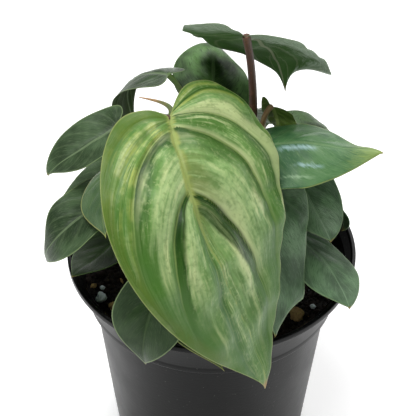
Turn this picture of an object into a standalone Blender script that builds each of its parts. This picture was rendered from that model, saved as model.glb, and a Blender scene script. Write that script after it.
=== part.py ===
"""Potted philodendron: a round nursery pot, potting mix, four short stems and their leaves.

The pot stands on its flat foot, whose centre is the origin. Z is up and -Y is the side
the largest leaf hangs over. Sizes below are in millimetres and are scaled to metres when
a mesh or curve is made. Every leaf is one closed plate, joined to a stem by its petiole.
"""
import math
from dataclasses import dataclass

import bmesh
import bpy
import numpy as np

MM = 0.001

# Clearance left between neighbouring solids.
GAP = 0.3

# Pot: outer radii and heights of its stepped side, and its wall.
POT_HEIGHT = 92.0
FOOT_RADIUS = 39.0
BODY_TOP_RADIUS = 46.2
BAND_HEIGHT = 20.5
BAND_BOTTOM_RADIUS = 49.0
BAND_TOP_RADIUS = 53.2
LIP_RADIUS = 56.0
LIP_HEIGHT = 2.6
WALL = 1.4
POT_SEGMENTS = 72

# Drainage: a ring of holes through the foot.
HOLE_COUNT = 8
HOLE_RADIUS = 4.5
HOLE_RING_RADIUS = 29.0

# Potting mix: a low mound with a level crown for the stems to stand on.
MIX_RIM_Z = 81.0
MIX_CROWN_Z = 85.0
MIX_CROWN_RADIUS = 26.0

# Leaves and stalks.
BLADE_THICKNESS = 0.8
SINUS_START = 0.97
LEAF_ROWS = 11
LEAF_COLUMNS = 5
FRONT_LEAF_ROWS = 19
FRONT_LEAF_COLUMNS = 8
PETIOLE_RADIUS = 1.25
PETIOLE_STEPS = 12
PETIOLE_SLOPE = 50.0
STEM_RADIUS = 2.6


@dataclass(frozen=True)
class Stem:
    """A short stem: x and y where it leaves the potting mix, x and y of its end, and its height."""
    name: str
    foot: tuple
    head: tuple
    top_z: float


@dataclass(frozen=True)
class Leaf:
    """One heart-shaped blade, its pose and the stem that carries it.

    junction and tip are the ends of the midrib. roll turns the blade about the midrib and
    twist turns it further toward the tip. arch lifts the midrib near its base and near its
    tip. fold is the angle of each half at the midrib and curl what each half gains by its
    margin, left half first. widest, lobe and point shape the outline, as parts of its length.
    pleat is the quilting's height and bow moves the middle of the petiole aside.
    """
    name: str
    stem: str
    node_z: float
    junction: tuple
    tip: tuple
    width: float
    roll: float = 0.0
    arch: tuple = (0.0, 0.0)
    sweep: float = 0.0
    fold: tuple = (0.0, 0.0)
    curl: tuple = (0.0, 0.0)
    twist: float = 0.0
    widest: float = 0.33
    lobe: float = 0.17
    point: float = 0.2
    pleat: float = 0.0
    bow: tuple = (0.0, 0.0, 0.0)


STEMS = (
    Stem("stem_front_left", (-10, -11), (-12, -15), 109),
    Stem("stem_front_right", (12, -11), (14, -13), 113),
    Stem("stem_back_left", (-10, 10), (-13, 13), 117),
    Stem("stem_back_right", (12, 11), (14, 14), 119),
)

LEAVES = (
    Leaf("front_leaf", "stem_front_left", 104, (-13.5, -39, 187), (21.5, -69.5, 85.5), 82,
         roll=4, arch=(28, 17), sweep=-7, fold=(-26, 12), curl=(9, -43), twist=7,
         widest=0.24, lobe=0.05, point=0.13, pleat=0.9),
    Leaf("top_leaf", "stem_back_right", 115, (12.5, -7.5, 196), (28, 25.5, 146.5), 57,
         roll=-10, arch=(8, 14), sweep=3, fold=(11, 5), curl=(-21, -37), twist=4,
         widest=0.6, lobe=0.05, point=0.29, bow=(4, 18, 0)),
    Leaf("upper_back_leaf", "stem_back_left", 88.5, (1.5, 12, 150.5), (-0.5, 54, 148), 32,
         roll=14, arch=(5, 18), sweep=2, fold=(-17, -23), curl=(1, 4), twist=5,
         widest=0.31, lobe=0.13, point=0.18),
    Leaf("upper_left_leaf", "stem_back_left", 110, (-18, 11, 163.5), (-29.5, 20.5, 136), 27,
         roll=3, arch=(9, 15), sweep=1, fold=(-1, -9), curl=(7, 0), twist=-20,
         widest=0.35, lobe=0.24, point=0.12),
    Leaf("left_upper_leaf", "stem_back_left", 105, (-33.5, -1.5, 152), (-61, -14, 137.5), 26,
         roll=1, arch=(3, 5), sweep=1, fold=(8, 1), curl=(4, 3), twist=-4,
         widest=0.38, lobe=0.18, point=0.06),
    Leaf("left_back_leaf", "stem_back_left", 98, (-34.5, 9.5, 127), (-57.5, -2.5, 116.5), 22,
         roll=4, arch=(-2, 5), sweep=3, fold=(-9, -3), curl=(2, 4), twist=4,
         widest=0.33, lobe=0.15, point=0.19),
    Leaf("left_low_leaf", "stem_front_left", 88.5, (-36, -22, 137.5), (-60, -30.5, 110), 29,
         roll=-15, arch=(15, 20), sweep=4, fold=(14, -23), curl=(7, 7), twist=-5,
         widest=0.37, lobe=0.19, point=0.13),
    Leaf("left_inner_leaf", "stem_back_right", 116.5, (-33.5, -25, 151.5), (-36, -52.5, 142), 22,
         roll=32, arch=(3, -2), sweep=-4, fold=(0, -9), curl=(3, 2), twist=-1,
         widest=0.35, lobe=0.15, point=0.2),
    Leaf("left_rim_leaf", "stem_back_left", 89.5, (-33.5, -4, 107), (-52, -30, 102.5), 24,
         roll=21, arch=(-6, -6), sweep=-4, fold=(1, -8), curl=(4, 2), twist=-15,
         widest=0.37, lobe=0.18, point=0.16),
    Leaf("front_low_leaf", "stem_front_left", 89.5, (-15, -49, 124), (-24, -60, 88.5), 29,
         roll=-40, arch=(2, 12), sweep=-3, fold=(15, 21), curl=(4, 5), twist=25,
         widest=0.36, lobe=0.14, point=0.16),
    Leaf("front_under_leaf", "stem_front_right", 89.5, (-7.5, -40.5, 110.5), (5.5, -64, 89), 26,
         roll=-6, arch=(7, 2), sweep=-4, fold=(0, 0), curl=(3, 3), twist=-1,
         widest=0.32, lobe=0.16, point=0.19),
    Leaf("right_pointed_leaf", "stem_back_left", 92, (16, -15, 152), (60.5, -16, 151), 35,
         roll=-7, arch=(5, 0), sweep=-1, fold=(-10, -25), curl=(3, 0), twist=8,
         widest=0.3, lobe=0.22, point=0.12),
    Leaf("right_crown_leaf", "stem_back_right", 116.5, (22, 8, 153.5), (22.5, 16.5, 138.5), 15,
         roll=25, arch=(-2, -4), sweep=-3, fold=(17, 7), curl=(2, 2), twist=-9,
         widest=0.35, lobe=0.06, point=0.2),
    Leaf("right_back_leaf", "stem_back_right", 99, (30, 16.5, 139), (40, 39, 115), 25,
         roll=32, arch=(1, 16), sweep=-5, fold=(-9, -19), curl=(5, 2), twist=6,
         widest=0.36, lobe=0.19, point=0.17),
    Leaf("right_inner_leaf", "stem_front_left", 88.5, (21.5, -25, 140), (23.5, -64.5, 102), 38,
         roll=-13, arch=(8, 0), sweep=-4, fold=(-25, 0), curl=(7, 4), twist=-12,
         widest=0.62, lobe=0.17, point=0.2),
    Leaf("right_mid_leaf", "stem_front_right", 99, (27, -4, 134.5), (44.5, -28.5, 120), 26,
         roll=-14, arch=(-3, 0), sweep=5, fold=(2, -13), curl=(3, 2), twist=4,
         widest=0.28, lobe=0.15, point=0.06),
    Leaf("right_low_leaf", "stem_front_right", 93, (29.5, -14, 115.5), (50.5, -47.5, 105.5), 30,
         roll=-17, arch=(-6, -4), sweep=7, fold=(-18, -4), curl=(2, 3), twist=11,
         widest=0.38, lobe=0.15, point=0.06),
    Leaf("right_rear_leaf", "stem_back_right", 93, (36, 10.5, 121), (51.5, -5.5, 104.5), 20,
         roll=-21, arch=(-7, 13), sweep=1, fold=(8, 28), curl=(2, 3), twist=-9,
         widest=0.25, lobe=0.17, point=0.29),
    Leaf("back_left_leaf", "stem_back_left", 91, (-17, 30, 128), (-33, 60, 104), 34,
         roll=6, arch=(6, 8), sweep=2, fold=(-6, -6), curl=(-8, -8), twist=4,
         widest=0.34, lobe=0.17, point=0.2),
    Leaf("back_right_leaf", "stem_back_right", 97, (13, 36, 130), (22, 64, 100), 34,
         roll=-6, arch=(6, 8), sweep=-2, fold=(-6, -6), curl=(-8, -8), twist=-4,
         widest=0.34, lobe=0.17, point=0.2),
)

# Control points of the dried sheath beside the top of the front leaf's petiole.
SHEATH_PATH = ((-14.1, -35.0, 180.5), (-12.6, -32.5, 184.0), (-17.5, -29.0, 182.5), (-25.2, -27.0, 182.8))

# Loose lumps on the potting mix: name, x, y, radius and seed.
PERLITE = (
    ("perlite_left", -42.0, -20.5, 2.0, 3),
    ("perlite_left_small", -42.0, -14.5, 1.1, 5),
    ("perlite_right", 38.5, -24.0, 1.3, 7),
)
BARK = (
    ("bark_right", 31.5, -29.5, 3.0, 11),
    ("bark_left", -37.0, -25.5, 2.0, 13),
    ("bark_back", -30.0, 33.5, 2.6, 17),
)


def cubic(points, t):
    """Points of the cubic Bezier curve through four control points."""
    p0, p1, p2, p3 = (np.asarray(p, float) for p in points)
    t = t[:, None]
    s = 1 - t
    return s ** 3 * p0 + 3 * s * s * t * p1 + 3 * s * t * t * p2 + t ** 3 * p3


def half_outline(leaf, length, rows):
    """Margin of one half from the tip round the lobe to the sinus, and its fractions.

    x runs along the midrib from the junction and y is the distance from the midrib.
    """
    widest, lobe, shoulder = leaf.widest, leaf.lobe, 0.52
    t = np.linspace(0, 1, 40)
    tip_arc = cubic([(1, 0), (1 - leaf.point, 0.02), (widest + 0.42 * (1 - widest), 1),
                     (widest, 1)], t)
    side_arc = cubic([(widest, 1), (widest - 0.55 * (widest + lobe), 1),
                      (-lobe, shoulder + 0.3), (-lobe, shoulder)], t)
    lobe_arc = cubic([(-lobe, shoulder), (-lobe, shoulder - 0.3), (-0.25 * lobe, 0.1),
                      (0, 0)], t)
    curve = np.vstack([tip_arc, side_arc[1:], lobe_arc[1:]]) * (length, leaf.width / 2)
    steps = np.hypot(*np.diff(curve, axis=0).T)
    along = np.concatenate([[0], np.cumsum(steps)]) / steps.sum()
    s = np.linspace(0, SINUS_START, rows)
    return s, np.stack([np.interp(s, along, curve[:, 0]), np.interp(s, along, curve[:, 1])], -1)


def half_blade(leaf, length, rows, columns, side):
    """Flat half blade: row s follows a curved vein from the junction to the margin."""
    s, margin = half_outline(leaf, length, rows)
    angle = np.arctan2(margin[:, 1], margin[:, 0])
    reach = np.hypot(margin[:, 0], margin[:, 1])
    bow = math.radians(26) * np.sin(math.pi * np.minimum(1, s / 0.72) ** 0.8)
    bow[s > 0.72] = 0
    middle = 0.55 * reach[:, None] * np.stack([np.cos(angle + bow), np.sin(angle + bow)], -1)
    t = np.linspace(0, 1, columns)[None, :, None]
    flat = 2 * (1 - t) * t * middle[:, None] + t * t * margin[:, None]
    return flat * (1, side)


def turned(vector, axis, angle):
    """The vector turned about a unit axis by an angle in radians."""
    return (vector * math.cos(angle) + np.cross(axis, vector) * math.sin(angle)
            + axis * (vector @ axis) * (1 - math.cos(angle)))


def blade_grid(leaf, rows, columns):
    """Centre surface of a blade and its upward normals, as grids of points.

    Rows run over the margin from the left of the sinus, past the tip, to its right.
    """
    base, tip = np.array(leaf.junction, float), np.array(leaf.tip, float)
    length = np.linalg.norm(tip - base)
    ahead = (tip - base) / length
    up = np.array([0, 0, 1.0]) - ahead * ahead[2]
    up = turned(up / np.linalg.norm(up), ahead, math.radians(leaf.roll))
    left = np.cross(up, ahead)

    flat = np.vstack([half_blade(leaf, length, rows, columns, 1)[::-1],
                      half_blade(leaf, length, rows, columns, -1)[1:]])
    x, y = flat[..., 0] / length, flat[..., 1]
    a0, a1 = leaf.arch
    rise = np.where(x >= 0, 3 * (1 - x) ** 2 * x * a0 + 3 * (1 - x) * x ** 2 * a1,
                    3 * x * a0 + (3 * a1 - 6 * a0) * x * x)
    slope = np.where(x >= 0, 3 * a0 * ((1 - x) ** 2 - 2 * (1 - x) * x)
                     + 3 * a1 * (2 * (1 - x) * x - x ** 2),
                     3 * a0 + 2 * (3 * a1 - 6 * a0) * x) / length
    midrib = (base + ahead * (x * length)[..., None] + up * rise[..., None]
              + left * (4 * leaf.sweep * x * (1 - x))[..., None])
    along = ahead + up * slope[..., None]
    along /= np.linalg.norm(along, axis=-1, keepdims=True)
    normal = np.cross(along, left)
    turn = np.radians(leaf.twist) * x[..., None]
    across = left * np.cos(turn) + normal * np.sin(turn)
    normal = normal * np.cos(turn) - left * np.sin(turn)

    on_left = y > 0
    fold = np.radians(np.where(on_left, *leaf.fold))
    curl = np.radians(np.where(on_left, *leaf.curl)) / (leaf.width / 2)
    curl = np.where(np.abs(curl) < 1e-6, 1e-6, curl)
    lean = fold + curl * np.abs(y)
    out = np.sign(y) * (np.sin(lean) - np.sin(fold)) / curl
    lift = (np.cos(fold) - np.cos(lean)) / curl
    points = midrib + across * out[..., None] + normal * (lift + pleats(leaf, rows, columns))[..., None]
    facing = normal * np.cos(lean)[..., None] - across * (np.sign(y) * np.sin(lean))[..., None]
    return points, facing


def pleats(leaf, rows, columns):
    """Height of the quilting between the side veins of a pleated blade."""
    s = np.abs(np.linspace(-SINUS_START, SINUS_START, 2 * rows - 1))[:, None]
    t = np.linspace(0, 1, columns)[None]
    return leaf.pleat * np.abs(np.sin(math.pi * 5 * s)) * 4 * t * (1 - t) * (s < 0.8)


def stem_point(stem, z):
    """Point on a stem's axis at a height."""
    foot, head = np.array(stem.foot, float), np.array(stem.head, float)
    share = (z - MIX_CROWN_Z) / (stem.top_z - MIX_CROWN_Z)
    return np.array([*(foot + (head - foot) * share), z])


def petiole_path(leaf):
    """Centre line of a petiole, from beside its stem to just under its blade."""
    stem = next(s for s in STEMS if s.name == leaf.stem)
    node = stem_point(stem, leaf.node_z)
    points, facing = blade_grid(leaf, 3, 3)
    normal = facing[2, 0]
    fold_room = PETIOLE_RADIUS * math.tan(math.radians(max(0, *(-f for f in leaf.fold))))
    bow = np.array(leaf.bow, float)
    reach = np.linalg.norm(points[2, 0] - node) * 0.3
    arrive = normal * reach - bow
    skew = np.linalg.norm(np.cross(arrive, normal)) / np.linalg.norm(arrive)
    room = BLADE_THICKNESS / 2 + 1.5 * GAP + fold_room + PETIOLE_RADIUS * skew
    end = points[2, 0] - normal * room
    outward = (end - node) * (1, 1, 0)
    outward /= np.linalg.norm(outward)
    slope = math.radians(PETIOLE_SLOPE)
    leave = outward * math.cos(slope) + np.array([0, 0, math.sin(slope)])
    start = node + outward * (STEM_RADIUS + 1.3 * GAP + PETIOLE_RADIUS * math.sin(slope))
    controls = [start, start + leave * reach * 4 / 3 + bow, end - arrive, end]
    return cubic(controls, np.linspace(0, 1, PETIOLE_STEPS + 1))


def collection(name):
    """New collection under the scene."""
    group = bpy.data.collections.new(name)
    bpy.context.scene.collection.children.link(group)
    return group


def finish(name, colour, roughness):
    """Principled material of one colour and roughness."""
    material = bpy.data.materials.new(name)
    material.use_nodes = True
    shader = material.node_tree.nodes["Principled BSDF"]
    shader.inputs["Base Color"].default_value = (*colour, 1)
    shader.inputs["Roughness"].default_value = roughness
    material.diffuse_color = (*colour, 1)
    return material


def place(name, data, material, group):
    """Object for a mesh or curve, linked to a collection."""
    data.materials.append(material)
    piece = bpy.data.objects.new(name, data)
    group.objects.link(piece)
    return piece


def mesh_from(name, points, faces):
    """Mesh in metres from points in millimetres."""
    mesh = bpy.data.meshes.new(name)
    mesh.from_pydata([tuple(np.asarray(p) * MM) for p in points], [], faces)
    mesh.update()
    return mesh


def shade_smooth(piece):
    """Smooth shading for a rounded mesh."""
    piece.data.polygons.foreach_set("use_smooth", [True] * len(piece.data.polygons))


def turned_solid(name, profile, material, group):
    """Solid of revolution about Z, from (radius, height) points run outward and down."""
    points = [(radius, 0, height) for radius, height in profile]
    mesh = mesh_from(name, points, [])
    mesh.edges.add(len(points) - 1)
    for index, edge in enumerate(mesh.edges):
        edge.vertices = (index, index + 1)
    piece = place(name, mesh, material, group)
    screw = piece.modifiers.new("Turn", "SCREW")
    screw.steps = screw.render_steps = POT_SEGMENTS
    screw.use_merge_vertices = True
    screw.merge_threshold = 0.00001
    screw.use_smooth_shade = True
    return piece


def make_pot(material, group, cutters):
    """Nursery pot: tapered body, stepped band, thin rolled lip and a drained foot."""
    inner_top = LIP_RADIUS - 1.6
    band_z = POT_HEIGHT - BAND_HEIGHT
    lip_z = POT_HEIGHT - LIP_HEIGHT
    profile = [
        (0, WALL), (FOOT_RADIUS - WALL, WALL),
        (BODY_TOP_RADIUS - WALL, band_z + WALL), (BAND_BOTTOM_RADIUS - WALL, band_z + WALL),
        (BAND_TOP_RADIUS - WALL, lip_z - 0.8), (inner_top, lip_z + 1.2),
        (inner_top, POT_HEIGHT - 0.4), (inner_top + 0.4, POT_HEIGHT),
        (LIP_RADIUS - 0.4, POT_HEIGHT), (LIP_RADIUS, POT_HEIGHT - 0.4),
        (LIP_RADIUS, lip_z), (BAND_TOP_RADIUS, lip_z - 0.3),
        (BAND_BOTTOM_RADIUS, band_z), (BODY_TOP_RADIUS, band_z),
        (FOOT_RADIUS, 0.6), (FOOT_RADIUS - 0.6, 0), (0, 0)]
    pot = turned_solid("pot", profile, material, group)

    drill = bmesh.new()
    for index in range(HOLE_COUNT):
        angle = 2 * math.pi * index / HOLE_COUNT
        centre = (HOLE_RING_RADIUS * math.cos(angle) * MM, HOLE_RING_RADIUS * math.sin(angle) * MM, 0)
        made = bmesh.ops.create_cone(drill, cap_ends=True, segments=16, radius1=HOLE_RADIUS * MM,
                                     radius2=HOLE_RADIUS * MM, depth=8 * MM)
        bmesh.ops.translate(drill, verts=made["verts"], vec=centre)
    mesh = bpy.data.meshes.new("drainage_drill")
    drill.to_mesh(mesh)
    drill.free()
    cutter = place("drainage_drill", mesh, material, cutters)
    cutter.hide_render = True
    cutter.display_type = "WIRE"
    cut = pot.modifiers.new("Drainage", "BOOLEAN")
    cut.solver = "EXACT"
    cut.object = cutter
    return pot


def inner_radius(z):
    """Radius of the pot's inner wall at a height."""
    band_z = POT_HEIGHT - BAND_HEIGHT
    if z <= band_z + WALL:
        share = (z - WALL) / band_z
        return FOOT_RADIUS - WALL + (BODY_TOP_RADIUS - FOOT_RADIUS) * share
    share = (z - band_z - WALL) / (BAND_HEIGHT - LIP_HEIGHT - 0.8 - WALL)
    return BAND_BOTTOM_RADIUS - WALL + (BAND_TOP_RADIUS - BAND_BOTTOM_RADIUS) * share


def make_mix(material, group):
    """Potting mix: fills the pot with a clearance all round and rises to a level crown."""
    ledge = POT_HEIGHT - BAND_HEIGHT + WALL
    profile = [
        (0, MIX_CROWN_Z), (MIX_CROWN_RADIUS, MIX_CROWN_Z),
        (inner_radius(MIX_RIM_Z) - GAP, MIX_RIM_Z),
        (BAND_BOTTOM_RADIUS - WALL - GAP, ledge + GAP),
        (inner_radius(ledge) - GAP, ledge + GAP),
        (FOOT_RADIUS - WALL - GAP, WALL + GAP), (0, WALL + GAP)]
    return turned_solid("potting_mix", profile, material, group)


def make_blade(leaf, material, group):
    """Closed plate over the leaf's surface; all its veins meet at the junction."""
    front = leaf.pleat > 0
    rows = FRONT_LEAF_ROWS if front else LEAF_ROWS
    columns = FRONT_LEAF_COLUMNS if front else LEAF_COLUMNS
    grid, _ = blade_grid(leaf, rows, columns)
    veins, steps = 2 * rows - 1, columns - 1
    points = [grid[0, 0]] + [grid[vein, step + 1] for vein in range(veins) for step in range(steps)]
    faces = []
    for vein in range(veins - 1):
        near, far = 1 + vein * steps, 1 + (vein + 1) * steps
        faces.append((0, near, far))
        faces.extend((near + step, near + step + 1, far + step + 1, far + step)
                     for step in range(steps - 1))
    blade = place(leaf.name, mesh_from(leaf.name, points, faces), material, group)
    shade_smooth(blade)
    plate = blade.modifiers.new("Plate", "SOLIDIFY")
    plate.thickness = BLADE_THICKNESS * MM
    plate.offset = 0
    return blade


def make_rod(name, path, radii, material, group):
    """Round rod along a line of points, with a radius at each."""
    curve = bpy.data.curves.new(name, "CURVE")
    curve.dimensions = "3D"
    curve.bevel_depth = MM
    curve.bevel_resolution = 2
    curve.use_fill_caps = True
    spline = curve.splines.new("POLY")
    spline.points.add(len(path) - 1)
    for point, position, radius in zip(spline.points, path, radii):
        point.co = (*(np.asarray(position) * MM), 1)
        point.radius = radius
    spline.use_smooth = True
    return place(name, curve, material, group)


def make_stem(stem, material, group):
    """Stem standing just clear of the potting mix, tapering a little to its end."""
    foot = stem_point(stem, MIX_CROWN_Z + GAP)
    path = [foot, foot + (0, 0, 3), stem_point(stem, stem.top_z)]
    return make_rod(stem.name, path, [STEM_RADIUS, STEM_RADIUS, STEM_RADIUS - 0.3], material, group)


def make_sheath(material, group):
    """Dried bud sheath: a curved spike beside the top of the front leaf's petiole."""
    path = cubic(SHEATH_PATH, np.linspace(0, 1, 9))
    return make_rod("bud_sheath", path, np.linspace(1.1, 0.2, 9), material, group)


def mix_surface(x, y):
    """Height of the potting mix and the cosine of its slope at a point."""
    radius = math.hypot(x, y)
    fall = (MIX_CROWN_Z - MIX_RIM_Z) / (inner_radius(MIX_RIM_Z) - GAP - MIX_CROWN_RADIUS)
    if radius < MIX_CROWN_RADIUS:
        return MIX_CROWN_Z, 1.0
    return MIX_CROWN_Z - fall * (radius - MIX_CROWN_RADIUS), math.cos(math.atan(fall))


def make_crumb(crumb, material, group):
    """Rounded lump resting just clear of the potting mix."""
    name, x, y, radius, seed = crumb
    height, slope = mix_surface(x, y)
    lump = bmesh.new()
    bmesh.ops.create_icosphere(lump, subdivisions=2, radius=radius * MM)
    squeeze = np.random.default_rng(seed).uniform(0.72, 1.0, len(lump.verts))
    for vertex, factor in zip(lump.verts, squeeze):
        vertex.co *= factor
        vertex.co.z = max(vertex.co.z, -0.6 * radius * MM)
    mesh = bpy.data.meshes.new(name)
    lump.to_mesh(mesh)
    lump.free()
    piece = place(name, mesh, material, group)
    piece.location = (x * MM, y * MM, (height + (0.6 * radius + GAP) / slope + 0.15 * radius) * MM)
    return piece


def clear_scene():
    """Remove everything the default file holds."""
    for piece in list(bpy.data.objects):
        bpy.data.objects.remove(piece, do_unlink=True)


def main():
    clear_scene()
    group = collection("potted_philodendron")
    cutters = collection("cutters")

    plastic = finish("pot_plastic", (0.018, 0.019, 0.021), 0.42)
    make_pot(plastic, group, cutters)
    make_mix(finish("potting_mix", (0.03, 0.022, 0.016), 0.95), group)

    bark_of_stem = finish("stem", (0.16, 0.13, 0.05), 0.55)
    for stem in STEMS:
        make_stem(stem, bark_of_stem, group)

    bright = finish("front_blade", (0.20, 0.34, 0.09), 0.4)
    dark = finish("blade", (0.055, 0.12, 0.045), 0.42)
    stalk = finish("petiole", (0.13, 0.055, 0.03), 0.45)
    for leaf in LEAVES:
        make_blade(leaf, bright if leaf.pleat else dark, group)
        path = petiole_path(leaf)
        make_rod(leaf.name.replace("_leaf", "_petiole"), path,
                 [PETIOLE_RADIUS] * len(path), stalk, group)
    make_sheath(finish("bud_sheath", (0.36, 0.24, 0.12), 0.6), group)

    perlite = finish("perlite", (0.72, 0.74, 0.76), 0.9)
    wood = finish("bark_chip", (0.30, 0.19, 0.09), 0.9)
    for crumb in PERLITE:
        make_crumb(crumb, perlite, group)
    for crumb in BARK:
        make_crumb(crumb, wood, group)


main()
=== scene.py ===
"""Looks of a potted philodendron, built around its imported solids.

A young plant with one large striped leaf stands in a black nursery pot. Every blade is a
closed sheet with veins of its own, every stalk is a tapered tube, and the potting mix is
strewn with crumbs, bark and perlite. Lengths are in millimetres until a mesh is made, and
the origin is the middle of the pot's foot.
"""

import logging
import math
from dataclasses import dataclass
from enum import Enum

import bmesh
import bpy
import numpy as np
from mathutils import Matrix, Vector


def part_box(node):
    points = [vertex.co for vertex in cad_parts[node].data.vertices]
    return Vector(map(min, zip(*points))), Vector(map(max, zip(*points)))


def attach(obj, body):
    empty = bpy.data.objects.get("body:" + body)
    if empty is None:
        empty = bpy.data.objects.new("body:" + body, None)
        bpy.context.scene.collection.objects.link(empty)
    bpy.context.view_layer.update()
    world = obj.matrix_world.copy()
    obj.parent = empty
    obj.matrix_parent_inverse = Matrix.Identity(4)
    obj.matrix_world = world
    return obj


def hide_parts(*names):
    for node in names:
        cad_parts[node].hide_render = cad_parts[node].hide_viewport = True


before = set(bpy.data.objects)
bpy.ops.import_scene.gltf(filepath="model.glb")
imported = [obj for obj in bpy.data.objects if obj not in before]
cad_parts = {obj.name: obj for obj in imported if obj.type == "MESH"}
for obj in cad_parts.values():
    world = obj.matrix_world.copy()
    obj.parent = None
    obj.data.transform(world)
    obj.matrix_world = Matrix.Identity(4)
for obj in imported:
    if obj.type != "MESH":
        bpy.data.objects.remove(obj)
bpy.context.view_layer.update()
LOG = logging.getLogger("philodendron")
MM = 0.001

Colour = str
Point = tuple[float, float, float]
Pair = tuple[float, float]
Socket = bpy.types.NodeSocket
Material = bpy.types.Material
Mesh = bpy.types.Mesh
Piece = bpy.types.Object


def tint(code: Colour) -> tuple[float, ...]:
    """Opaque colour in linear light.

    Args:
        code: Red, green and blue as two hexadecimal digits each.

    Returns:
        Its three linear channels, and 1 for opaque.
    """
    channels = [int(code[i:i + 2], 16) / 255 for i in (0, 2, 4)]
    return *(c / 12.92 if c <= 0.04045 else ((c + 0.055) / 1.055) ** 2.4 for c in channels), 1.0


# ---------------------------------------------------------------------------
# Shader graphs
# ---------------------------------------------------------------------------

class Value:
    """Output of a shader node that takes Python's arithmetic."""

    def __init__(self, graph: "Graph", socket: Socket) -> None:
        """Wrap an output of one of a graph's nodes."""
        self.graph, self.socket = graph, socket

    def __add__(self, other: object) -> "Value":
        """Sum of this and another value or number."""
        return self.graph.maths("ADD", self, other)

    def __sub__(self, other: object) -> "Value":
        """This less another value or number."""
        return self.graph.maths("SUBTRACT", self, other)

    def __mul__(self, other: object) -> "Value":
        """Product of this and another value or number."""
        return self.graph.maths("MULTIPLY", self, other)

    def __truediv__(self, other: object) -> "Value":
        """This divided by another value or number."""
        return self.graph.maths("DIVIDE", self, other)


class Graph:
    """One Principled material and short calls that grow its node tree."""

    def __init__(self, name: str, roughness: float, specular: float = 0.5) -> None:
        """Start a material.

        Args:
            name: Name of the material.
            roughness: Roughness where nothing is linked to it.
            specular: Specular level of the whole surface.
        """
        self.material = bpy.data.materials.new(name)
        self.material.use_nodes = True
        self.nodes = self.material.node_tree.nodes
        self.colour: object = None
        self.surface("Roughness", roughness)
        self.surface("Specular IOR Level", specular)

    def put(self, socket: Socket, value: object) -> None:
        """Link a socket to a node's output, or set its value."""
        if isinstance(value, Value):
            self.material.node_tree.links.new(value.socket, socket)
        else:
            socket.default_value = tint(value) if isinstance(value, str) else value

    def node(self, kind: str, output: object, inputs: dict, **properties: object) -> Value:
        """Add a shader node.

        Args:
            kind: Type of the node, without its prefix.
            output: Name or number of the output to give back.
            inputs: Values or numbers for its inputs, by name or number.
            properties: Settings of the node.

        Returns:
            The output asked for.
        """
        node = self.nodes.new(f"ShaderNode{kind}")
        for name, setting in properties.items():
            setattr(node, name, setting)
        for key, value in inputs.items():
            self.put(node.inputs[key], value)
        return Value(self, node.outputs[output])

    def surface(self, name: str, value: object) -> None:
        """Feed one input of the Principled shader."""
        self.put(self.nodes["Principled BSDF"].inputs[name], value)

    def attribute(self, name: str) -> Value:
        """Number stored at the mesh's vertices under a name."""
        return self.node("Attribute", "Fac", {}, attribute_name=name)

    def place(self) -> Value:
        """Object coordinates in metres."""
        return self.node("TexCoord", "Object", {})

    def vector(self, x: object, y: object, z: object = 0.0) -> Value:
        """Vector joined from three values or numbers."""
        return self.node("CombineXYZ", 0, {0: x, 1: y, 2: z})

    def maths(self, operation: str, first: object, second: object = 0.0,
              clamp: bool = False) -> Value:
        """Result of one arithmetic operation."""
        return self.node("Math", 0, {0: first, 1: second}, operation=operation, use_clamp=clamp)

    def noise(self, where: Value, scale: float, detail: float = 3.0,
              roughness: float = 0.55) -> Value:
        """Fractal noise from 0 to 1 over a vector."""
        return self.node("TexNoise", "Fac", {
            "Vector": where, "Scale": scale, "Detail": detail, "Roughness": roughness})

    def cells(self, where: Value, scale: float) -> Value:
        """Distance to the nearest point of a Voronoi pattern."""
        return self.node("TexVoronoi", "Distance", {"Vector": where, "Scale": scale})

    def span(self, value: Value, low: float, high: float, to_low: float = 0.0,
             to_high: float = 1.0) -> Value:
        """Value carried smoothly from one range to another and held at its ends."""
        return self.node("MapRange", 0, {0: value, 1: low, 2: high, 3: to_low, 4: to_high},
                         interpolation_type="SMOOTHSTEP")

    def blend(self, share: Value, first: object, second: object) -> Value:
        """Two colours mixed by a share from 0 to 1."""
        return self.node("Mix", 2, {0: share, 6: first, 7: second}, data_type="RGBA")

    def ramp(self, value: Value, stops: tuple[tuple[float, Enum], ...]) -> Value:
        """Tone read along a line of stops, the first of them at 0."""
        ramp = self.node("ValToRGB", "Color", {0: value})
        elements = ramp.socket.node.color_ramp.elements
        elements.remove(elements[-1])
        elements[0].color = tint(stops[0][1].value)
        for position, tone in stops[1:]:
            elements.new(position).color = tint(tone.value)
        return ramp

    def bump(self, height: Value, depth: float, strength: float = 1.0,
             under: Value | None = None) -> Value:
        """Normal of a relief of some depth in metres, laid over another normal if given."""
        inputs = {"Height": height, "Distance": depth, "Strength": strength}
        return self.node("Bump", "Normal", inputs | ({"Normal": under} if under else {}))

    def paint(self, share: Value, colour: object) -> None:
        """Lay a colour over the one painted so far."""
        self.colour = self.blend(share, self.colour, colour)


class BladeGraph(Graph):
    """Material of a blade, with the vein map of its mesh at hand.

    band counts the veins outward from the midrib and is negative on the right half, size
    counts them on both, and turn is how far a point lies from the nearest. The other values
    are those that VeinMap measures, and under is 1 on the lower face.
    """

    def __init__(self, name: str, roughness: float, specular: float) -> None:
        """Start a material and read the vein map."""
        super().__init__(name, roughness, specular)
        self.band, self.run = self.attribute("band"), self.attribute("run")
        self.rib, self.edge = self.attribute("rib"), self.attribute("edge")
        self.ahead, self.under = self.attribute("ahead"), self.attribute("under")
        self.size = self.maths("ABSOLUTE", self.band)
        self.turn = self.maths("PINGPONG", self.band, 0.5)

    def along(self, across: float, lengthwise: float, depth: float = 0.0) -> Value:
        """Place among the veins, stretched so that noise over it runs along them."""
        return self.vector(self.band * across, self.run * lengthwise, depth)

    def ribbed(self, base: float, tip: float, until: float) -> Value:
        """Distance from the midrib in half widths of a line that thins toward the tip."""
        return self.rib / self.span(self.ahead, 0.0, until, base, tip)


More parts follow.
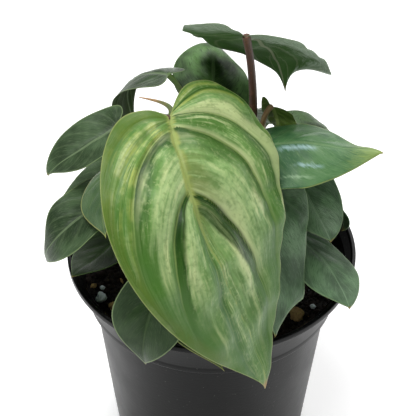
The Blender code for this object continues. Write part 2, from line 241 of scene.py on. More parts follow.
class Tone(Enum):
    """Colours that the striped blade is painted from."""

    CREAM = "cddc9c"
    YELLOW = "b6c562"
    PALE = "aac685"
    MINT = "8db26b"
    MID = "709a50"
    GREEN = "567f38"
    DARK = "2c5414"
    DEEP = "1b3d07"
    TEAL = "4a734e"


# ---------------------------------------------------------------------------
# Finishes
# ---------------------------------------------------------------------------

@dataclass(frozen=True)
class StripedFinish:
    """Bright blade with pale stripes between its veins.

    The stripes are read along the veins' order, from the midrib at 0 round to the sinus at 1. The dark
    stops just before a vein are partly dark stripes and partly painted shade of the groove, and the
    right half's cream stop at 0.487 also paints the thin highlight along its third vein.
    """

    name: str = "front_blade"
    gloss: float = 0.36
    shine: float = 0.2
    veins: float = 6.0
    # Dark stops just before a vein are partly painted shade of the groove there.
    left: tuple[tuple[float, Tone], ...] = (
        (0.0, Tone.MID), (0.09, Tone.MID), (0.13, Tone.MINT), (0.165, Tone.MID),
        (0.19, Tone.MINT), (0.215, Tone.PALE), (0.25, Tone.CREAM), (0.268, Tone.MINT),
        (0.282, Tone.DARK), (0.30, Tone.DEEP), (0.336, Tone.DEEP), (0.345, Tone.CREAM),
        (0.38, Tone.PALE), (0.435, Tone.MINT), (0.465, Tone.MID), (0.478, Tone.GREEN),
        (0.499, Tone.DARK), (0.508, Tone.CREAM), (0.53, Tone.MINT), (0.565, Tone.MID),
        (0.61, Tone.GREEN), (0.664, Tone.DARK), (0.674, Tone.CREAM), (0.72, Tone.CREAM),
        (0.745, Tone.MINT), (0.775, Tone.MINT), (0.815, Tone.YELLOW), (0.834, Tone.DARK),
        (0.87, Tone.GREEN), (0.92, Tone.YELLOW), (0.97, Tone.GREEN))
    # The cream stop at 0.487 is partly a painted highlight along the third vein.
    right: tuple[tuple[float, Tone], ...] = (
        (0.0, Tone.MINT), (0.05, Tone.MID), (0.09, Tone.MID), (0.125, Tone.GREEN),
        (0.164, Tone.TEAL), (0.20, Tone.MID), (0.235, Tone.MINT), (0.255, Tone.PALE),
        (0.28, Tone.PALE), (0.298, Tone.MID), (0.312, Tone.DARK), (0.334, Tone.DEEP),
        (0.345, Tone.MINT), (0.375, Tone.PALE), (0.42, Tone.PALE), (0.455, Tone.MID),
        (0.478, Tone.DARK), (0.487, Tone.CREAM), (0.54, Tone.YELLOW), (0.575, Tone.MINT),
        (0.60, Tone.GREEN), (0.64, Tone.GREEN), (0.68, Tone.PALE), (0.705, Tone.CREAM),
        (0.745, Tone.CREAM), (0.775, Tone.MID), (0.83, Tone.GREEN), (0.87, Tone.YELLOW),
        (0.91, Tone.YELLOW), (0.97, Tone.MINT))

    def build(self) -> Material:
        """Make the material."""
        return StripedGraph(self).material


class StripedGraph(BladeGraph):
    """Painted layers of the striped blade, from its stripes out to its edge and tip."""

    def __init__(self, finish: StripedFinish) -> None:
        """Lay every layer.

        Args:
            finish: Stripes and gloss of the blade.
        """
        super().__init__(finish.name, finish.gloss, finish.shine)
        self.patch = self.grain(3.0, 0.034, 3.0)
        self.streak = self.grain(5.0, 0.09, 2.0)
        self.strand = self.grain(12.0, 0.09, 3.0)
        self.mottle = self.noise(self.place(), 640.0, 4.0)
        self.stripes(finish)
        self.grain_in_stripes()
        self.lobes()
        shade_and_pigment_wedge = self.groove_shade_and_pigment()
        self.outskirts()
        self.midrib(shade_and_pigment_wedge)
        self.paint(self.span(self.edge, 0.4, 0.1, 0.0, 0.6), "a3ab68")
        self.paint(self.span(self.ahead, 0.955, 0.99), "b0905c")
        self.paint(self.under, "7ba061")
        self.surface("Base Color", self.colour)
        self.relief()

    def grain(self, across: float, along: float, detail: float) -> Value:
        """Noise stretched along the veins."""
        return self.noise(self.along(across, along, across), 1.0, detail, 0.6)

    def stripes(self, finish: StripedFinish) -> None:
        """Tones by the veins' order, drifting a little except beside a vein."""
        drift = (self.grain(1.0, 0.05, 1.5) - 0.5) * 0.6 + (self.streak - 0.5) * 0.4
        order = self.size + drift * self.span(self.turn, 0.05, 0.22)
        order = self.maths("DIVIDE", order, finish.veins, clamp=True)
        self.colour = self.ramp(order, finish.right)
        self.paint(self.span(self.band, -0.02, 0.02), self.ramp(order, finish.left))

    def grain_in_stripes(self) -> None:
        """Green and cream patches, strands and mottling, clear of the veins."""
        clear = self.span(self.turn, 0.06, 0.2, 0.3, 1.0)
        for noise, low, high, share, tone in (
                (self.patch, 0.50, 0.66, 0.8, Tone.GREEN), (self.patch, 0.46, 0.32, 0.85, Tone.CREAM),
                (self.strand, 0.52, 0.66, 0.4, Tone.GREEN), (self.strand, 0.47, 0.34, 0.4, Tone.CREAM),
                (self.mottle, 0.50, 0.68, 0.35, Tone.GREEN), (self.mottle, 0.48, 0.32, 0.3, Tone.CREAM)):
            self.paint(self.span(noise, low, high, 0.0, share) * clear, tone.value)

    def lobes(self) -> None:
        """Lime and leaf-green patches on the right half's lobe."""
        patches = self.noise(self.place(), 120.0, 3.0)
        lime = self.span(self.band, -2.9, -3.1) * self.span(self.ahead, 0.42, 0.22)
        lime = lime * self.span(self.streak, 0.62, 0.36, 0.0, 0.8)
        self.paint(lime * self.span(patches, 0.38, 0.62, 0.25, 1.0), "c9d672")
        leafy = self.span(self.band, -2.6, -3.1) * self.span(patches, 0.54, 0.36, 0.0, 0.65)
        self.paint(leafy, "5f8f38")

    def groove_shade_and_pigment(self) -> Value:
        """Dark tapering band along the inner side of each vein, widest near the junction, partly the
        blade's dark pigment and partly painted shade of the groove.
        """
        phase = self.maths("FRACT", self.size)
        widest = self.span(self.run, 24.0, 75.0, 0.48, 0.10)
        widest = widest * self.span(self.size, 2.02, 2.03, 1.0, 0.45)
        widest = widest * self.span(self.band, 0.95, 1.05, 0.6, 1.7)
        shade_and_pigment_wedge = self.span(phase + widest, 0.94, 1.08) * self.span(phase, 0.995, 0.985)
        shade_and_pigment_wedge = shade_and_pigment_wedge * self.span(self.size, 1.0, 1.02, 0.2, 1.0)
        shade_and_pigment_wedge = shade_and_pigment_wedge * self.span(self.band, 2.0, 2.03, 1.0, 0.4)
        shade_and_pigment_wedge = shade_and_pigment_wedge * self.span(self.size, 3.02, 2.98, 0.3, 1.0)
        shade_and_pigment_wedge = shade_and_pigment_wedge * self.span(self.strand, 0.35, 0.6, 0.95, 0.7)
        # Painted shade of the groove together with the blade's dark pigment.
        self.paint(shade_and_pigment_wedge, Tone.DEEP.value)
        return shade_and_pigment_wedge

    def outskirts(self) -> None:
        """Plain green toward the margin, a darker border on the right half, pale veins."""
        out = self.run / (self.run + self.edge) + (self.patch - 0.5) * 0.45
        worn = self.span(out, 0.62, 0.95, 0.0, 0.9) * self.span(self.size, 4.0, 2.8, 0.45, 1.0)
        self.paint(worn * self.span(self.size, 0.5, 1.7, 0.6, 1.0), "4a762d")
        border = self.edge + (self.streak - 0.5) * 6.0
        border = self.span(border, 5.5, 1.5, 0.0, 0.8) * self.span(self.band, -0.8, -1.8)
        self.paint(border, "567328")
        vein = self.span(self.attribute("vein"), 0.45, 0.15, 0.0, 0.45)
        self.paint(vein * self.span(self.edge, 4.0, 14.0), "9fb76c")

    def midrib(self, shade_and_pigment_wedge: Value) -> None:
        """Glow and khaki strokes beside the midrib's base, and the midrib itself."""
        glow = self.span(self.ahead, 0.34, 0.18) * self.span(self.streak, 0.35, 0.55)
        near = self.span(self.rib - self.streak * 2.4, 1.6, -0.6)
        self.paint(near * glow, "a5b160")
        khaki = self.span(self.band, 0.0, 0.08) * self.span(self.rib, 12.0, 4.0)
        khaki = khaki * self.span(self.ahead, 0.06, 0.14) * self.span(self.ahead, 0.38, 0.27)
        khaki = khaki * self.span(self.strand, 0.40, 0.58, 0.10, 0.6) * self.span(shade_and_pigment_wedge, 0.6, 0.1)
        self.paint(khaki, "6c7c3a")
        self.paint(self.span(self.ribbed(1.0, 0.32, 0.6), 1.35, 0.55, 0.0, 0.75), "a3b468")

    def relief(self) -> None:
        """Uneven gloss, lengthwise ridges and fine grain, and light let through."""
        self.surface("Roughness", self.span(self.mottle, 0.3, 0.7, 0.30, 0.42) + self.under * 0.15)
        ridges = self.bump(self.noise(self.along(14.0, 0.12), 1.0, 3.0), 0.00022, 0.7)
        fine = self.noise(self.place(), 1600.0, 3.0)
        self.surface("Normal", self.bump(fine, 0.00008, 0.6, ridges))
        self.surface("Subsurface Weight", 0.08)
        self.surface("Subsurface Radius", (0.6, 1.0, 0.3))
        self.surface("Subsurface Scale", 0.0006)


@dataclass(frozen=True)
class PaintedHighlight:
    """Painted highlight, a silvery streak beside the midrib of a right half: its distance, width, start
    and end.
    """

    rib: float
    width: float
    start: float
    end: float
    colour: Colour = "a3c4c2"

    def amount(self, graph: BladeGraph, grain: Value) -> Value:
        """How far each point of the blade lies in the streak."""
        away = graph.maths("ABSOLUTE", graph.rib - self.rib) + grain * 4.5
        share = graph.span(away, self.width + 2.3, 1.8, 0.0, 0.85)
        share = share * graph.span(graph.run, self.start - 2, self.start + 2)
        share = share * graph.span(graph.run, self.end + 2, self.end - 2)
        return share * graph.span(graph.band, 0.0, -0.1)


@dataclass(frozen=True)
class BladeFinish:
    """Satin blade with fine veins: its two faces, its veins and how far they show.

    painted_sheen is how strongly the right half's outer part and the lobes are painted silvery
    on the lower face, a painted sheen, and ripe how yellow the blade turns towards its tip.
    painted_highlights are streaks painted as highlights.
    """

    name: str
    face: Colour
    shade: Colour
    back: Colour
    rib: Colour
    margin: Colour
    tip: Colour = "8a7a3c"
    rib_show: float = 0.4
    vein_show: float = 0.12
    flecks: float = 0.5
    strokes: float = 0.3
    gloss: float = 0.36
    shine: float = 0.25
    painted_sheen: float = 0.0
    ripe: float = 0.0
    painted_sheen_colour: Colour = "a8b8a5"
    painted_highlights: tuple[PaintedHighlight, ...] = ()

    def build(self) -> Material:
        """Make the material."""
        graph = BladeGraph(self.name, self.gloss, self.shine)
        span, ahead = graph.span, graph.ahead
        broad = graph.noise(graph.place(), 95.0, 2.0)
        streak = graph.noise(graph.along(5.0, 0.17), 1.5, 5.0, 0.66)
        fine = graph.noise(graph.along(20.0, 0.30), 1.2, 3.0)
        ribbed = graph.ribbed(0.8, 0.22, 0.95)
        tipped = ahead + broad * 0.04
        graph.colour = graph.blend(span(broad, 0.3, 0.7, 0.0, 0.35), self.back, self.shade)
        graph.paint(span(graph.turn, 0.10, 0.02, 0.0, 0.35), self.rib)
        graph.paint(span(ribbed, 1.7, 1.1, 0.0, 0.8), self.rib)
        graph.paint(span(tipped, 0.93, 1.02, 0.0, 0.8), self.tip)
        # Painted sheen: silvery colour on the lower face's right outer part and lobes, standing for the
        # upper face's sheen seen at a grazing angle.
        if self.painted_sheen:
            outer = graph.band + streak * 2.6
            painted_sheen = graph.maths("MAXIMUM", span(outer, -0.8, -1.8), span(ahead, 0.02, -0.10))
            graph.paint(painted_sheen * span(fine, 0.62, 0.38, 0.35, self.painted_sheen), self.painted_sheen_colour)
        below = graph.colour
        graph.colour = graph.blend(span(broad, 0.32, 0.68), self.face, self.shade)
        graph.paint(span(streak, 0.52, 0.70, 0.0, self.flecks), self.shade)
        graph.paint(span(fine, 0.53, 0.66, 0.0, self.strokes), self.shade)
        graph.paint(span(fine, 0.48, 0.30, 0.0, 0.30), self.rib)
        graph.paint(span(graph.turn, 0.16, 0.02, 0.0, self.vein_show), self.rib)
        graph.paint(span(ribbed, 1.2, 0.6, 0.0, self.rib_show), self.rib)
        graph.paint(span(graph.edge, 0.5, 0.1, 0.0, 0.85), self.margin)
        graph.paint(span(ahead + streak * 0.5, 0.90, 1.25, 0.0, self.ripe), "9fb562")
        graph.paint(span(tipped, 0.985, 1.02), self.tip)
        # Painted highlights: pale streaks standing for the satin reflection of the lights.
        for highlight in self.painted_highlights:
            graph.paint(highlight.amount(graph, streak), highlight.colour)
        graph.paint(graph.under, below)
        graph.surface("Base Color", graph.colour)
        rough = span(broad, 0.3, 0.7, self.gloss - 0.04, self.gloss + 0.07)
        graph.surface("Roughness", rough + graph.under * 0.2)
        grain = graph.noise(graph.place(), 1400.0, 3.0)
        relief = graph.bump(streak, 0.0003, 0.6)
        graph.surface("Normal", graph.bump(grain, 0.00007, 0.6, relief))
        return graph.material


@dataclass(frozen=True)
class StalkFinish:
    """Leaf stalk: brown below and greener toward the blade, with fine lengthwise ridges."""

    name: str
    low: Colour
    high: Colour
    blush: Colour
    change: Pair = (0.55, 0.98)

    def build(self) -> Material:
        """Make the material."""
        graph = Graph(self.name, 0.42, 0.5)
        along = graph.attribute("along")
        patch = graph.noise(graph.place(), 420.0, 4.0, 0.6)
        pitch = along + (patch - 0.5) * 0.25
        graph.colour = graph.blend(graph.span(pitch, *self.change), self.low, self.high)
        graph.paint(graph.span(patch, 0.52, 0.68, 0.0, 0.6), self.blush)
        graph.surface("Base Color", graph.colour)
        ridges = graph.noise(graph.vector(graph.attribute("around") * 18.0, along * 3.0), 1.0, 3.0)
        graph.surface("Normal", graph.bump(ridges, 0.0003, 0.7))
        graph.surface("Roughness", graph.span(patch, 0.3, 0.7, 0.36, 0.55))
        return graph.material


@dataclass(frozen=True)
class PotFinish:
    """Black moulded plastic: satin on the body, glossier on the lip, a little dusty."""

    name: str = "pot_plastic"
    plastic: Colour = "0b0c0c"
    dust: Colour = "5a5a55"
    lip_from: float = 0.0885

    def build(self) -> Material:
        """Make the material."""
        graph = Graph(self.name, 0.35, 0.11)
        place = graph.place()
        height = graph.node("SeparateXYZ", "Z", {0: place})
        cloud = graph.noise(place, 38.0, 4.0, 0.6)
        specks = graph.noise(place, 900.0, 2.0, 0.5)
        graph.colour = graph.blend(graph.span(cloud, 0.42, 0.72, 0.0, 0.05), self.plastic, self.dust)
        graph.paint(graph.span(specks, 0.70, 0.76, 0.0, 0.55), self.dust)
        graph.surface("Base Color", graph.colour)
        lip = graph.span(height, self.lip_from - 0.0006, self.lip_from + 0.0006)
        graph.surface("Roughness", graph.span(cloud, 0.3, 0.7, 0.30, 0.40) - lip * 0.14)
        peel = graph.noise(place, 1100.0, 2.0)
        flow = graph.noise(graph.vector(0.0, 0.0, height), 900.0, 2.0)
        graph.surface("Normal", graph.bump(peel, 0.00006, 0.5, graph.bump(flow, 0.00006, 0.4)))
        return graph.material


@dataclass(frozen=True)
class CrumbFinish:
    """Loose matter on the mix: two colours picked crumb by crumb, and a rough face."""

    name: str
    first: Colour
    second: Colour
    pores: float = 0.0

    def build(self) -> Material:
        """Make the material."""
        graph = Graph(self.name, 0.92, 0.25)
        place = graph.place()
        mottle = graph.noise(place, 900.0, 4.0, 0.65)
        share = graph.maths("ADD", graph.attribute("pick"), (mottle - 0.5) * 0.8, clamp=True)
        graph.colour = graph.blend(share, self.first, self.second)
        if self.pores:
            graph.paint(graph.span(graph.cells(place, 2200.0), 0.35, 0.1, 0.0, self.pores), self.first)
        graph.surface("Base Color", graph.colour)
        graph.surface("Normal", graph.bump(mottle, 0.0006, 0.9))
        return graph.material


@dataclass(frozen=True)
class MixFinish:
    """Moist peat under the crumbs: near black with brown fibres."""

    name: str = "potting_mix"
    damp: Colour = "0d0a08"
    fibre: Colour = "2a2018"

    def build(self) -> Material:
        """Make the material."""
        graph = Graph(self.name, 0.9, 0.25)
        grain = graph.noise(graph.place(), 420.0, 6.0, 0.7)
        graph.surface("Base Color", graph.blend(graph.span(grain, 0.45, 0.75), self.damp, self.fibre))
        graph.surface("Normal", graph.bump(grain, 0.0012, 1.0))
        return graph.material


class Finishes:
    """Every material of the plant, each made once."""

    STRIPED = StripedFinish()
    SATIN = BladeFinish(
        "satin_blade", face="4a6141", shade="26391f", back="4a6034",
        rib="82986f", margin="7a8f5e", rib_show=0.5, flecks=0.75)
    DIM = BladeFinish(
        "dim_blade", face="3a5130", shade="243a1c", back="4a6034",
        rib="5c7348", margin="84986a", rib_show=0.25, vein_show=0.04)
    DEEP = BladeFinish(
        "deep_blade", face="5c8248", shade="152d08", back="34501c",
        rib="64804f", margin="6b8852", flecks=0.8, shine=0.22)
    # Darker copy of the satin blade for left_rim: its colour paints the shade that the leaves above cast
    # on it.
    DARK = BladeFinish(
        "dark_blade", face="2c431d", shade="182a0d", back="34501c",
        rib="4a6238", margin="5c7644", shine=0.22)
    CROWN = BladeFinish(
        "crown_blade", face="4a6626", shade="2a4012", back="536d2a",
        rib="7c8f4c", margin="8a9a58", shine=0.22)
    FRESH = BladeFinish(
        "fresh_blade", face="5a8352", shade="35613a", back="5d7d3c",
        rib="86a474", margin="9aab62", tip="b3ae62", vein_show=0.10,
        # The painted highlights stand for the satin reflection of the lights on this blade.
        ripe=0.75, painted_highlights=(
            PaintedHighlight(2.4, 2.0, 8.0, 20.0), PaintedHighlight(9.8, 1.3, 17.0, 24.5),
            PaintedHighlight(14.5, 1.0, 16.0, 24.0, "94b48c")))
    HERRINGBONE = BladeFinish(
        "herringbone_blade", face="5e8059", shade="385236", back="44603a",
        rib="7f9d78", margin="7f9a6e", flecks=0.7, strokes=0.8, shine=0.22)
    MOSS = BladeFinish(
        "moss_blade", face="55704a", shade="33502f", back="5d7d3c",
        rib="7b8a54", margin="a0a45c", vein_show=0.08)
    # The top leaf's lower face carries the painted sheen.
    TOP = BladeFinish(
        "top_blade", face="6a8a60", shade="2c4a1c", back="426630",
        rib="8b9476", margin="7f9568", tip="7c6a30", rib_show=0.6, painted_sheen=0.9)

    STALK = StalkFinish("petiole", low="4d3021", high="5d7a3c", blush="6b3f2c")
    RED_STALK = StalkFinish("red_petiole", low="4a2d20", high="5a3f2a",
                            blush="6e4430", change=(0.9, 1.05))
    TAN_STALK = StalkFinish("tan_petiole", low="7a5638", high="8a7048",
                            blush="8c6440")
    STEM = StalkFinish("stem", low="4f4527", high="6a7a3c", blush="7a6a44")
    SHEATH = StalkFinish("bud_sheath", low="5c6a34", high="b98e62",
                         blush="8a7a46", change=(0.3, 0.75))
    POT = PotFinish()
    MIX = MixFinish()
    PEAT = CrumbFinish("peat_crumb", first="0a0806", second="211811")
    BARK = CrumbFinish("bark_chip", first="574428", second="a58a5a")
    PERLITE = CrumbFinish("perlite", first="a9b8c0", second="dfe9ee", pores=0.4)

    def __init__(self) -> None:
        """Start with no material made."""
        self.made: dict[str, Material] = {}

    def get(self, finish: object) -> Material:
        """Material of a finish, made at its first use."""
        if finish.name not in self.made:
            self.made[finish.name] = finish.build()
        return self.made[finish.name]


# ---------------------------------------------------------------------------
# Shared mesh work
# ---------------------------------------------------------------------------

def cubic(points: tuple | list, t: np.ndarray) -> np.ndarray:
    """Points of the cubic Bezier curve through four control points."""
    p0, p1, p2, p3 = (np.asarray(p, float) for p in points)
    t = t[:, None]
    s = 1 - t
    return s ** 3 * p0 + 3 * s * s * t * p1 + 3 * s * t * t * p2 + t ** 3 * p3


def turned(vector: np.ndarray, axis: np.ndarray, angle: float) -> np.ndarray:
    """The vector turned about a unit axis by an angle in radians."""
    return (vector * math.cos(angle) + np.cross(axis, vector) * math.sin(angle)
            + axis * (vector @ axis) * (1 - math.cos(angle)))


def mesh_from(name: str, points: np.ndarray, faces: list, edges: tuple = ()) -> Mesh:
    """Mesh in metres from points in millimetres."""
    mesh = bpy.data.meshes.new(name)
    mesh.from_pydata((np.asarray(points, float) * MM).tolist(), list(edges), faces)
    mesh.update()
    return mesh


def mesh_of(work: bmesh.types.BMesh, name: str) -> Mesh:
    """Mesh that takes over finished bmesh work."""
    mesh = bpy.data.meshes.new(name)
    work.to_mesh(mesh)
    work.free()
    return mesh


def note(mesh: Mesh, name: str, values: np.ndarray) -> None:
    """Store one number at each vertex under a name."""
    layer = mesh.attributes.new(name, "FLOAT", "POINT")
    layer.data.foreach_set("value", np.asarray(values, np.float32).ravel())


def smooth(mesh: Mesh, angle: float | None = None) -> None:
    """Shade a mesh smooth, except at edges sharper than an angle in degrees."""
    mesh.shade_smooth()
    if angle is not None:
        mesh.set_sharp_from_angle(angle=math.radians(angle))


def link(name: str, mesh: Mesh, material: Material | None = None) -> Piece:
    """Object at the origin for a mesh, in the scene."""
    if material is not None:
        mesh.materials.clear()
        mesh.materials.append(material)
    piece = bpy.data.objects.new(name, mesh)
    bpy.context.scene.collection.objects.link(piece)
    return piece


def baked(piece: Piece) -> Mesh:
    """Plain mesh of an object with its modifiers applied; the object is removed."""
    graph = bpy.context.evaluated_depsgraph_get()
    mesh = bpy.data.meshes.new_from_object(piece.evaluated_get(graph), depsgraph=graph)
    bpy.data.objects.remove(piece, do_unlink=True)
    return mesh


def dress(piece: Piece, node: str) -> Piece:
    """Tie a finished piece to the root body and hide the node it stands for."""
    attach(piece, "root")
    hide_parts(node)
    LOG.info("%s: %d faces", piece.name, len(piece.data.polygons))
    return piece


class Recipe:
    """A Geometry Nodes tree under construction, with short calls to add its nodes."""

    def __init__(self, name: str) -> None:
        """Start a tree with a geometry input and output."""
        self.tree = bpy.data.node_groups.new(name, "GeometryNodeTree")
        self.tree.interface.new_socket("Geometry", in_out="INPUT", socket_type="NodeSocketGeometry")
        self.tree.interface.new_socket("Geometry", in_out="OUTPUT", socket_type="NodeSocketGeometry")
        self.entry = self.tree.nodes.new("NodeGroupInput")
        self.exit = self.tree.nodes.new("NodeGroupOutput")

    def ask(self, **kinds: str) -> None:
        """Add named inputs, each a Float, an Int or a Material."""
        for name, kind in kinds.items():
            self.tree.interface.new_socket(name, in_out="INPUT", socket_type=f"NodeSocket{kind}")

    def given(self, name: str) -> Socket:
        """Socket of a named input."""
        return self.entry.outputs[name]

    def add(self, kind: str, *values: object, **named: object) -> bpy.types.Node:
        """Add a node; values fill its inputs in order, named ones by name or property.

        Args:
            kind: Node type, without its prefix.
            values: Sockets or values for the first inputs; None leaves one alone.
            named: Properties of the node, or inputs with underscores for spaces.

        Returns:
            The node.
        """
        node = self.tree.nodes.new(kind)
        for key, value in named.items():
            if hasattr(node, key):
                setattr(node, key, value)
        for socket, value in zip(node.inputs, values):
            self.fill(socket, value)
        for key, value in named.items():
            if not hasattr(node, key):
                self.fill(node.inputs[key.replace("_", " ")], value)
        return node

    def fill(self, socket: Socket, value: object) -> None:
        """Link or set one socket."""
        if isinstance(value, Socket):
            self.tree.links.new(value, socket)
        elif value is not None:
            socket.default_value = value

    def close(self, socket: Socket) -> None:
        """Make instances real, give the mesh its Material and lead it to the output."""
        real = self.add("GeometryNodeRealizeInstances", socket)
        final = self.add("GeometryNodeSetMaterial", real.outputs[0], Material=self.given("Material"))
        self.tree.links.new(final.outputs[0], self.exit.inputs[0])

    def apply(self, piece: Piece, **values: object) -> Mesh:
        """Run the tree on an object and give back the plain mesh.

        Args:
            piece: Object that the tree works on; it is removed.
            values: Named inputs, with underscores for spaces.

        Returns:
            The realized mesh.
        """
        modifier = piece.modifiers.new(self.tree.name, "NODES")
        modifier.node_group = self.tree
        for item in self.tree.interface.items_tree:
            key = item.name.replace(" ", "_")
            if item.in_out == "INPUT" and key in values:
                modifier[item.identifier] = values[key]
        return baked(piece)


# ---------------------------------------------------------------------------
# Stems and stalks
# ---------------------------------------------------------------------------

@dataclass(frozen=True)
class Stem:
    """A short stem: x and y where it leaves the potting mix, x and y of its end, its height."""

    name: str
    foot: Pair
    head: Pair
    top_z: float
    base_z: float = 85.0
    radius: float = 2.6

    def at(self, z: float) -> np.ndarray:
        """Point on the stem's axis at a height."""
        foot, head = np.array(self.foot, float), np.array(self.head, float)
        share = (z - self.base_z) / (self.top_z - self.base_z)
        return np.array([*(foot + (head - foot) * share), z])


STEMS = (
    Stem("stem_front_left", (-10, -11), (-12, -15), 109),
    Stem("stem_front_right", (12, -11), (14, -13), 113),
    Stem("stem_back_left", (-10, 10), (-13, 13), 117),
    Stem("stem_back_right", (12, 11), (14, 14), 119),
)


class RodMaker:
    """Turns a line of points into a tapered round rod with a Geometry Nodes tree."""

    def __init__(self) -> None:
        """Build the tree: the line becomes a curve and is swept with a circle."""
        recipe = Recipe("tapered_rod")
        recipe.ask(Radius="Float", Sides="Int", Material="Material")
        curve = recipe.add("GeometryNodeMeshToCurve", recipe.given("Geometry"))
        girth = recipe.add("GeometryNodeInputNamedAttribute", "girth", data_type="FLOAT")
        factor = recipe.add("GeometryNodeSplineParameter")
        lined = recipe.add("GeometryNodeStoreNamedAttribute", curve.outputs[0], data_type="FLOAT",
                           Name="along", Value=factor.outputs["Factor"])
        circle = recipe.add("GeometryNodeCurvePrimitiveCircle", recipe.given("Sides"),
                            Radius=recipe.given("Radius"))
        turn = recipe.add("GeometryNodeSplineParameter")
        ring = recipe.add("GeometryNodeStoreNamedAttribute", circle.outputs[0], data_type="FLOAT",
                          Name="around", Value=turn.outputs["Factor"])
        swept = recipe.add("GeometryNodeCurveToMesh", lined.outputs[0], ring.outputs[0],
                           Scale=girth.outputs["Attribute"], Fill_Caps=True)
        soft = recipe.add("GeometryNodeSetShadeSmooth", swept.outputs[0])
        recipe.close(soft.outputs[0])
        self.recipe = recipe

    def make(self, name: str, path: np.ndarray, radii: np.ndarray, sides: int,
             material: Material) -> Piece:
        """Make one rod.

        Args:
            name: Name of the piece.
            path: Centre line in millimetres.
            radii: Radius at each point in millimetres.
            sides: Number of flats round the rod.
            material: Its material.

        Returns:
            The finished piece.
        """
        edges = [(i, i + 1) for i in range(len(path) - 1)]
        mesh = mesh_from(name, path, [], edges)
        note(mesh, "girth", np.asarray(radii))
        line = link(f"{name}_line", mesh)
        return link(name, self.recipe.apply(line, Radius=MM, Sides=sides, Material=material), material)


# ---------------------------------------------------------------------------
# Leaves
# ---------------------------------------------------------------------------

@dataclass(frozen=True)
class Vein:
    """A side vein: where it leaves the midrib, its angle there, and where it meets the margin.

    start is a share of the blade's length, leave is in degrees from the way to the tip, and
    end is a share of the margin from the tip round to the sinus. early and late are how long
    the vein keeps the way it left in and how long it runs beside the margin.
    """

    start: float
    leave: float
    end: float
    early: float = 0.38
    late: float = 0.42


PLAIN_VEINS = (
    Vein(0.62, 32, 0.05), Vein(0.42, 40, 0.12), Vein(0.22, 52, 0.22), Vein(0.05, 66, 0.36),
    Vein(0.0, 84, 0.54), Vein(0.0, 104, 0.74))
# The front leaf's veins are rounded from fits made by another program.
FRONT_LEFT_VEINS = (
    Vein(0.28, 50, 0.012, 0.1, 0.0), Vein(0.2, 58, 0.03, 0.5, 0.0),
    Vein(0.025, 80, 0.24, 0.53, 0.56), Vein(0.0, 92, 0.46, 0.46, 0.52),
    Vein(0.0, 119, 0.74, 0.08, 0.38))
FRONT_RIGHT_VEINS = (
    Vein(0.25, 6, 0.06, 0.48, 0.25), Vein(0.19, 70, 0.25, 0.42, 0.06),
    Vein(0.034, 87, 0.37, 0.6, 0.0), Vein(0.01, 84, 0.55, 0.45, 0.46),
    Vein(0.008, 103, 0.64, 0.47, 0.53))


@dataclass(frozen=True)
class Half:
    """Outline of half a blade, as parts of its length and of its half width.

    widest is where the half is widest, lobe how far it reaches behind the junction, point how
    drawn out the tip is and blunt how round. shoulder is how wide the lobe's back is and
    spread the whole width.
    """

    widest: float = 0.33
    lobe: float = 0.17
    point: float = 0.2
    blunt: float = 0.0
    shoulder: float = 0.52
    spread: float = 1.0


@dataclass(frozen=True)
class Leaf:
    """One heart-shaped blade, its pose, the stem that carries it and its finish.

    junction and tip are the ends of the midrib. roll turns the blade about the midrib and
    twist turns it further toward the tip. arch lifts the midrib near its base and near its
    tip. fold is the angle of each half at the midrib and curl what each half gains by its
    margin, left half first. shape is the outline of the left half, and of the right one too
    unless right_shape is given.
    quilt is how high the blade swells between its veins and bow moves the stalk's middle
    aside. crease is how gently the two halves meet, and rib how far the midrib strays from
    the axis near its base and near its tip, in half widths. girth is the stalk's thickness
    beside that of the others.
    """

    name: str
    stem: str
    node_z: float
    junction: Point
    tip: Point
    width: float
    roll: float = 0.0
    arch: Pair = (0.0, 0.0)
    sweep: float = 0.0
    fold: Pair = (0.0, 0.0)
    curl: Pair = (0.0, 0.0)
    twist: float = 0.0
    shape: Half = Half()
    right_shape: Half | None = None
    bow: Point = (0.0, 0.0, 0.0)
    quilt: float = 0.6
    crease: float = 1.2
    rib: Pair = (0.0, 0.0)
    left_veins: tuple[Vein, ...] = PLAIN_VEINS
    right_veins: tuple[Vein, ...] = PLAIN_VEINS
    finish: object = Finishes.SATIN
    stalk: StalkFinish = Finishes.STALK
    girth: float = 1.0

    @property
    def length(self) -> float:
        """Straight length of the blade."""
        return math.dist(self.junction, self.tip)
